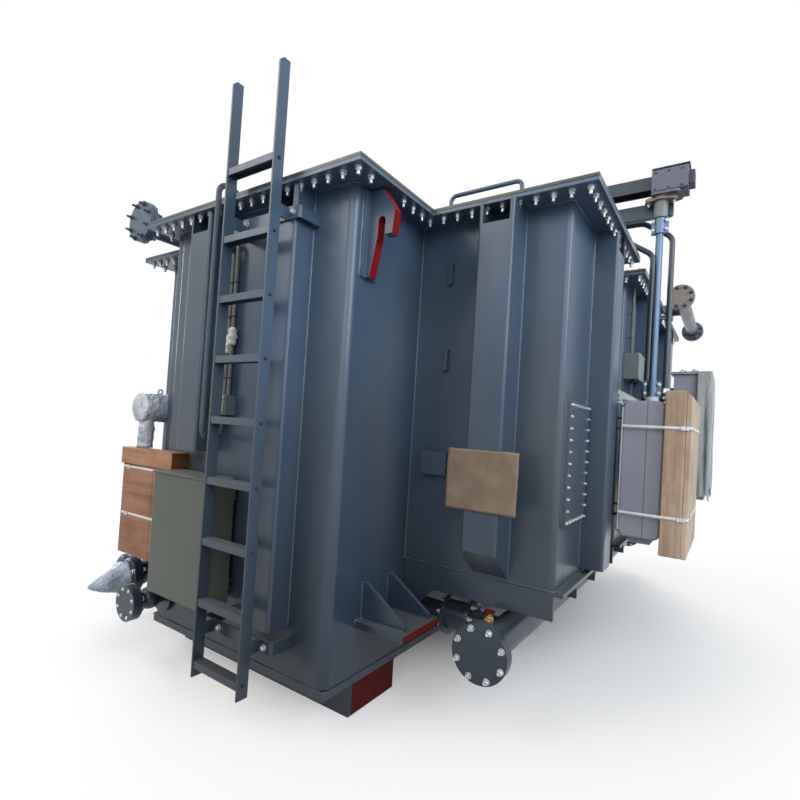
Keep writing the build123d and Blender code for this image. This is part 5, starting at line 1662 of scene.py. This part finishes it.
# %% [markdown]
# Cables enter the terminal boxes through glands in their floors. From the box on the second wing a rigid conduit
# runs up to the flange, held by two clips.

# %% Glands and conduit
GLAND = 0.024
GLAND_SPREAD = 0.3
CONDUIT_R = 0.0105
CONDUIT_IN, CONDUIT_ALONG, CONDUIT_SUNK = 0.03, 0.075, 0.004
CLIP_HEIGHTS = (0.12, 0.3)
CLIP_R, CLIP_LENGTH = 0.0135, 0.018
CLIP_ARM, CLIP_ARM_R = 0.03, 0.006

gland_rows = []
for name, across in (("front_terminal_box", 0), ("wing_terminal_box", 1)):
    low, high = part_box(name)
    for side in (-GLAND_SPREAD, GLAND_SPREAD):
        place = ((low + high) / 2).xy.to_3d() + UP * low.z
        place[across] += side * (high[across] - low[across])
        gland_rows.append((place, DOWN))
bolt_piece("cable_glands", gland_rows, GLAND, 0.018, rubber, slot="zinc")
box_low, box_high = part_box("wing_terminal_box")
foot = Vector((box_low.x + CONDUIT_IN, box_low.y + CONDUIT_ALONG, box_high.z - CONDUIT_SUNK))
conduit = bmesh.new()
rod(conduit, foot, Vector((foot.x, foot.y, Z_TOP - CONDUIT_SUNK)), CONDUIT_R, 18)
for height in CLIP_HEIGHTS:
    clip = foot + UP * height
    middle = clip + UP * (CLIP_LENGTH / 2)
    rod(conduit, clip, clip + UP * CLIP_LENGTH, CLIP_R, 18)
    rod(conduit, middle + LEFT * CLIP_ARM, middle, CLIP_ARM_R, 10)
piece_from("wing_box_conduit", mesh_of(conduit), conduit_grey, slot="zinc")

# %% [markdown]
# Two of the wall conduits are joined with white tape, wound thicker in the middle, and black ties hold the pair
# together. The wrapping helper winds the tape, and rods make the ties.

# %% Tape and ties
TUBE_INS = (0.011, 0.047)
TAPE_FEET = (1.845, 1.8)
TAPE_LENGTH, TAPE_R = 0.1, 0.0135
TAPE_SWELL, TAPE_WAVE, TAPE_PLEAT = 0.012, 0.004, 0.004
TIE_HEIGHTS = (2.19, 2.1, 2.0, 1.74, 1.66)
TIE_WIDTH, TIE_R = 0.007, 0.0128
LOCK_OUT, LOCK_R = 0.0105, 0.0032

tubes = loose_boxes("wall_conduits")
tube_y = (tubes[0][0].y + tubes[0][1].y) / 2
tube_xs = [max(high.x for low, high in tubes) - inside for inside in TUBE_INS]
for number, (x, z) in enumerate(zip(tube_xs, TAPE_FEET)):
    rings = []
    for step in range(11):
        share = step / 10
        swell = TAPE_SWELL * math.sin(math.pi * share) + TAPE_WAVE * math.sin(share * 17.0 + number)
        rings.append((Vector((x, tube_y, z + TAPE_LENGTH * share)), TAPE_R + swell))
    wrap(f"taped_joint_{number + 1}", tape_white, UP, rings, TAPE_PLEAT, 40.0 + number, 28)
ties = bmesh.new()
for z in TIE_HEIGHTS:
    for x in tube_xs:
        rod(ties, Vector((x, tube_y, z)), Vector((x, tube_y, z + TIE_WIDTH)), TIE_R, 20)
    lock = [Vector((x, tube_y - LOCK_OUT, z + TIE_WIDTH / 2)) for x in tube_xs]
    rod(ties, lock[1], lock[0], LOCK_R, 8)
piece_from("conduit_ties", mesh_of(ties), rubber, slot="zinc")
print("taped joints:", len(tube_xs), "ties:", len(TIE_HEIGHTS))

# %% [markdown]
# Under its film the valve has a lifting eye. It shows as a small wrapped ring on the drum.

# %% Valve eye
EYE_BACK = 0.12
EYE_UP, EYE_R, EYE_BAR = 0.018, 0.015, 0.0065
SHANK_FOOT, SHANK_TOP, SHANK_R = -0.004, 0.01, 0.012

drum_top = valve_axis + Vector((0.0, EYE_BACK, DRUM_R))
eye = bmesh.new()
ring_bar(eye, drum_top + UP * EYE_UP, RIGHT, EYE_R, EYE_BAR)
rod(eye, drum_top + UP * SHANK_FOOT, drum_top + UP * SHANK_TOP, SHANK_R)
eye_piece = piece_from("valve_eye", mesh_of(eye, smooth=True), white_film, slot="clear_film")
print("valve eye faces:", len(eye_piece.data.polygons))

# %% [markdown]
# A studio instead of the yard. The floor is pale for the camera, in reflections and through film, and darker for all
# other light, so the white ground never burns out the paint. It keeps the shadow under the tank and turns to
# white with distance, which hides the line where it ends.

# %% Floor
FLOOR_RADIUS = 70.0
SHADOW_REACH, NEAR_REACH, WHITE_REACH = 1.0, 2.6, 6.0
NEAR_GLOW = 0.45
WHITE = (1.0, 1.0, 1.0, 1.0)


def shown_rays(tree):
    """One for what the camera sees directly, in reflections or through film, and zero for all other light."""
    ray = node(tree, "ShaderNodeLightPath").outputs
    shown = math_node(tree, "MAXIMUM", ray["Is Camera Ray"], ray["Is Glossy Ray"])
    return math_node(tree, "MAXIMUM", shown, ray["Is Transmission Ray"])


def pale_floor():
    """A wide round floor that keeps the shadow near the object and fades to white for the camera farther out."""
    mesh = bpy.data.meshes.new("studio_floor")
    shape = bmesh.new()
    bmesh.ops.create_circle(shape, cap_ends=True, segments=96, radius=FLOOR_RADIUS)
    shape.to_mesh(mesh)
    shape.free()
    floor = bpy.data.objects.new("studio_floor", mesh)
    bpy.context.scene.collection.objects.link(floor)
    material, tree, surface, place = new_finish("studio_floor", Roughness=0.9)
    shown = shown_rays(tree)
    pale = mixed(tree, noise_at(tree, place, 0.4), srgb(236, 236, 236), srgb(243, 243, 243))
    wire(tree, surface, Base_Color=mixed(tree, shown, srgb(104, 105, 108), pale))
    reach = node(tree, "ShaderNodeVectorMath", {0: place}, operation="LENGTH").outputs["Value"]
    near = spread(tree, reach, SHADOW_REACH, NEAR_REACH, 0.0, NEAR_GLOW)
    far = spread(tree, reach, NEAR_REACH, WHITE_REACH, 0.0, 1.0 - NEAR_GLOW)
    share = math_node(tree, "MULTIPLY", shown, math_node(tree, "ADD", near, far))
    glow = node(tree, "ShaderNodeEmission", {"Color": WHITE, "Strength": 1.0}).outputs[0]
    seen = node(tree, "ShaderNodeMixShader", {0: share, 1: surface.outputs[0], 2: glow}).outputs[0]
    output = next(n for n in tree.nodes if n.type == "OUTPUT_MATERIAL")
    tree.links.new(seen, output.inputs["Surface"])
    mesh.materials.append(material)
    return floor


print("floor:", pale_floor().name)

# %% [markdown]
# Five wide lamps: a warm key high on the left front, a warm one on the right front, a cool one on the right, a
# white one behind and a cool one on the left. Warm against cool keeps the faces of the stepped walls apart.

# %% Lamps
WARM = (1.0, 0.95, 0.87)
COOL_RIGHT = (0.82, 0.91, 1.0)
COOL_LEFT = (0.8, 0.9, 1.0)


def soft_lamp(name, place, aim, size, power, tint=(1.0, 1.0, 1.0)):
    """A square lamp that looks from one point to another."""
    light = bpy.data.lights.new(name, "AREA")
    light.size = size
    light.energy = power
    light.color = tint
    lamp = bpy.data.objects.new(name, light)
    lamp.location = place
    lamp.rotation_euler = (Vector(aim) - Vector(place)).to_track_quat("-Z", "Y").to_euler()
    bpy.context.scene.collection.objects.link(lamp)
    print(name, power, "W")


soft_lamp("key_lamp", (-4.0, -8.0, 7.5), (0.0, -1.0, 1.4), 6.0, 440.0, WARM)
soft_lamp("front_lamp", (4.5, -9.0, 5.0), (0.8, -1.8, 1.6), 6.0, 320.0, WARM)
soft_lamp("right_lamp", (8.0, -3.0, 5.0), (1.0, 0.0, 1.4), 5.0, 500.0, COOL_RIGHT)
soft_lamp("rear_lamp", (-2.0, 9.0, 7.0), (0.0, 0.0, 1.4), 6.0, 650.0)
soft_lamp("left_lamp", (-8.5, 1.0, 5.0), (-1.0, 0.0, 1.4), 5.0, 480.0, COOL_LEFT)

# %% [markdown]
# The world is white wherever it is seen, and gives all other light a lower level, so the lamps still shape the
# tank. The Standard view keeps colours as they were mixed.

# %% World and view
WORLD_LIGHT = 0.4


def pale_world(light_level):
    """White for the camera, in reflections and through film, and a lower level for all other light."""
    world = bpy.data.worlds.new("studio_world")
    world.use_nodes = True
    tree = world.node_tree
    tree.nodes.clear()
    level = spread(tree, shown_rays(tree), 0.0, 1.0, light_level, 1.0)
    ground = node(tree, "ShaderNodeBackground", {"Color": WHITE, "Strength": level})
    node(tree, "ShaderNodeOutputWorld", {"Surface": ground.outputs[0]})
    bpy.context.scene.world = world


pale_world(WORLD_LIGHT)
bpy.context.scene.view_settings.view_transform = "Standard"
print("world:", bpy.context.scene.world.name, "at", WORLD_LIGHT)
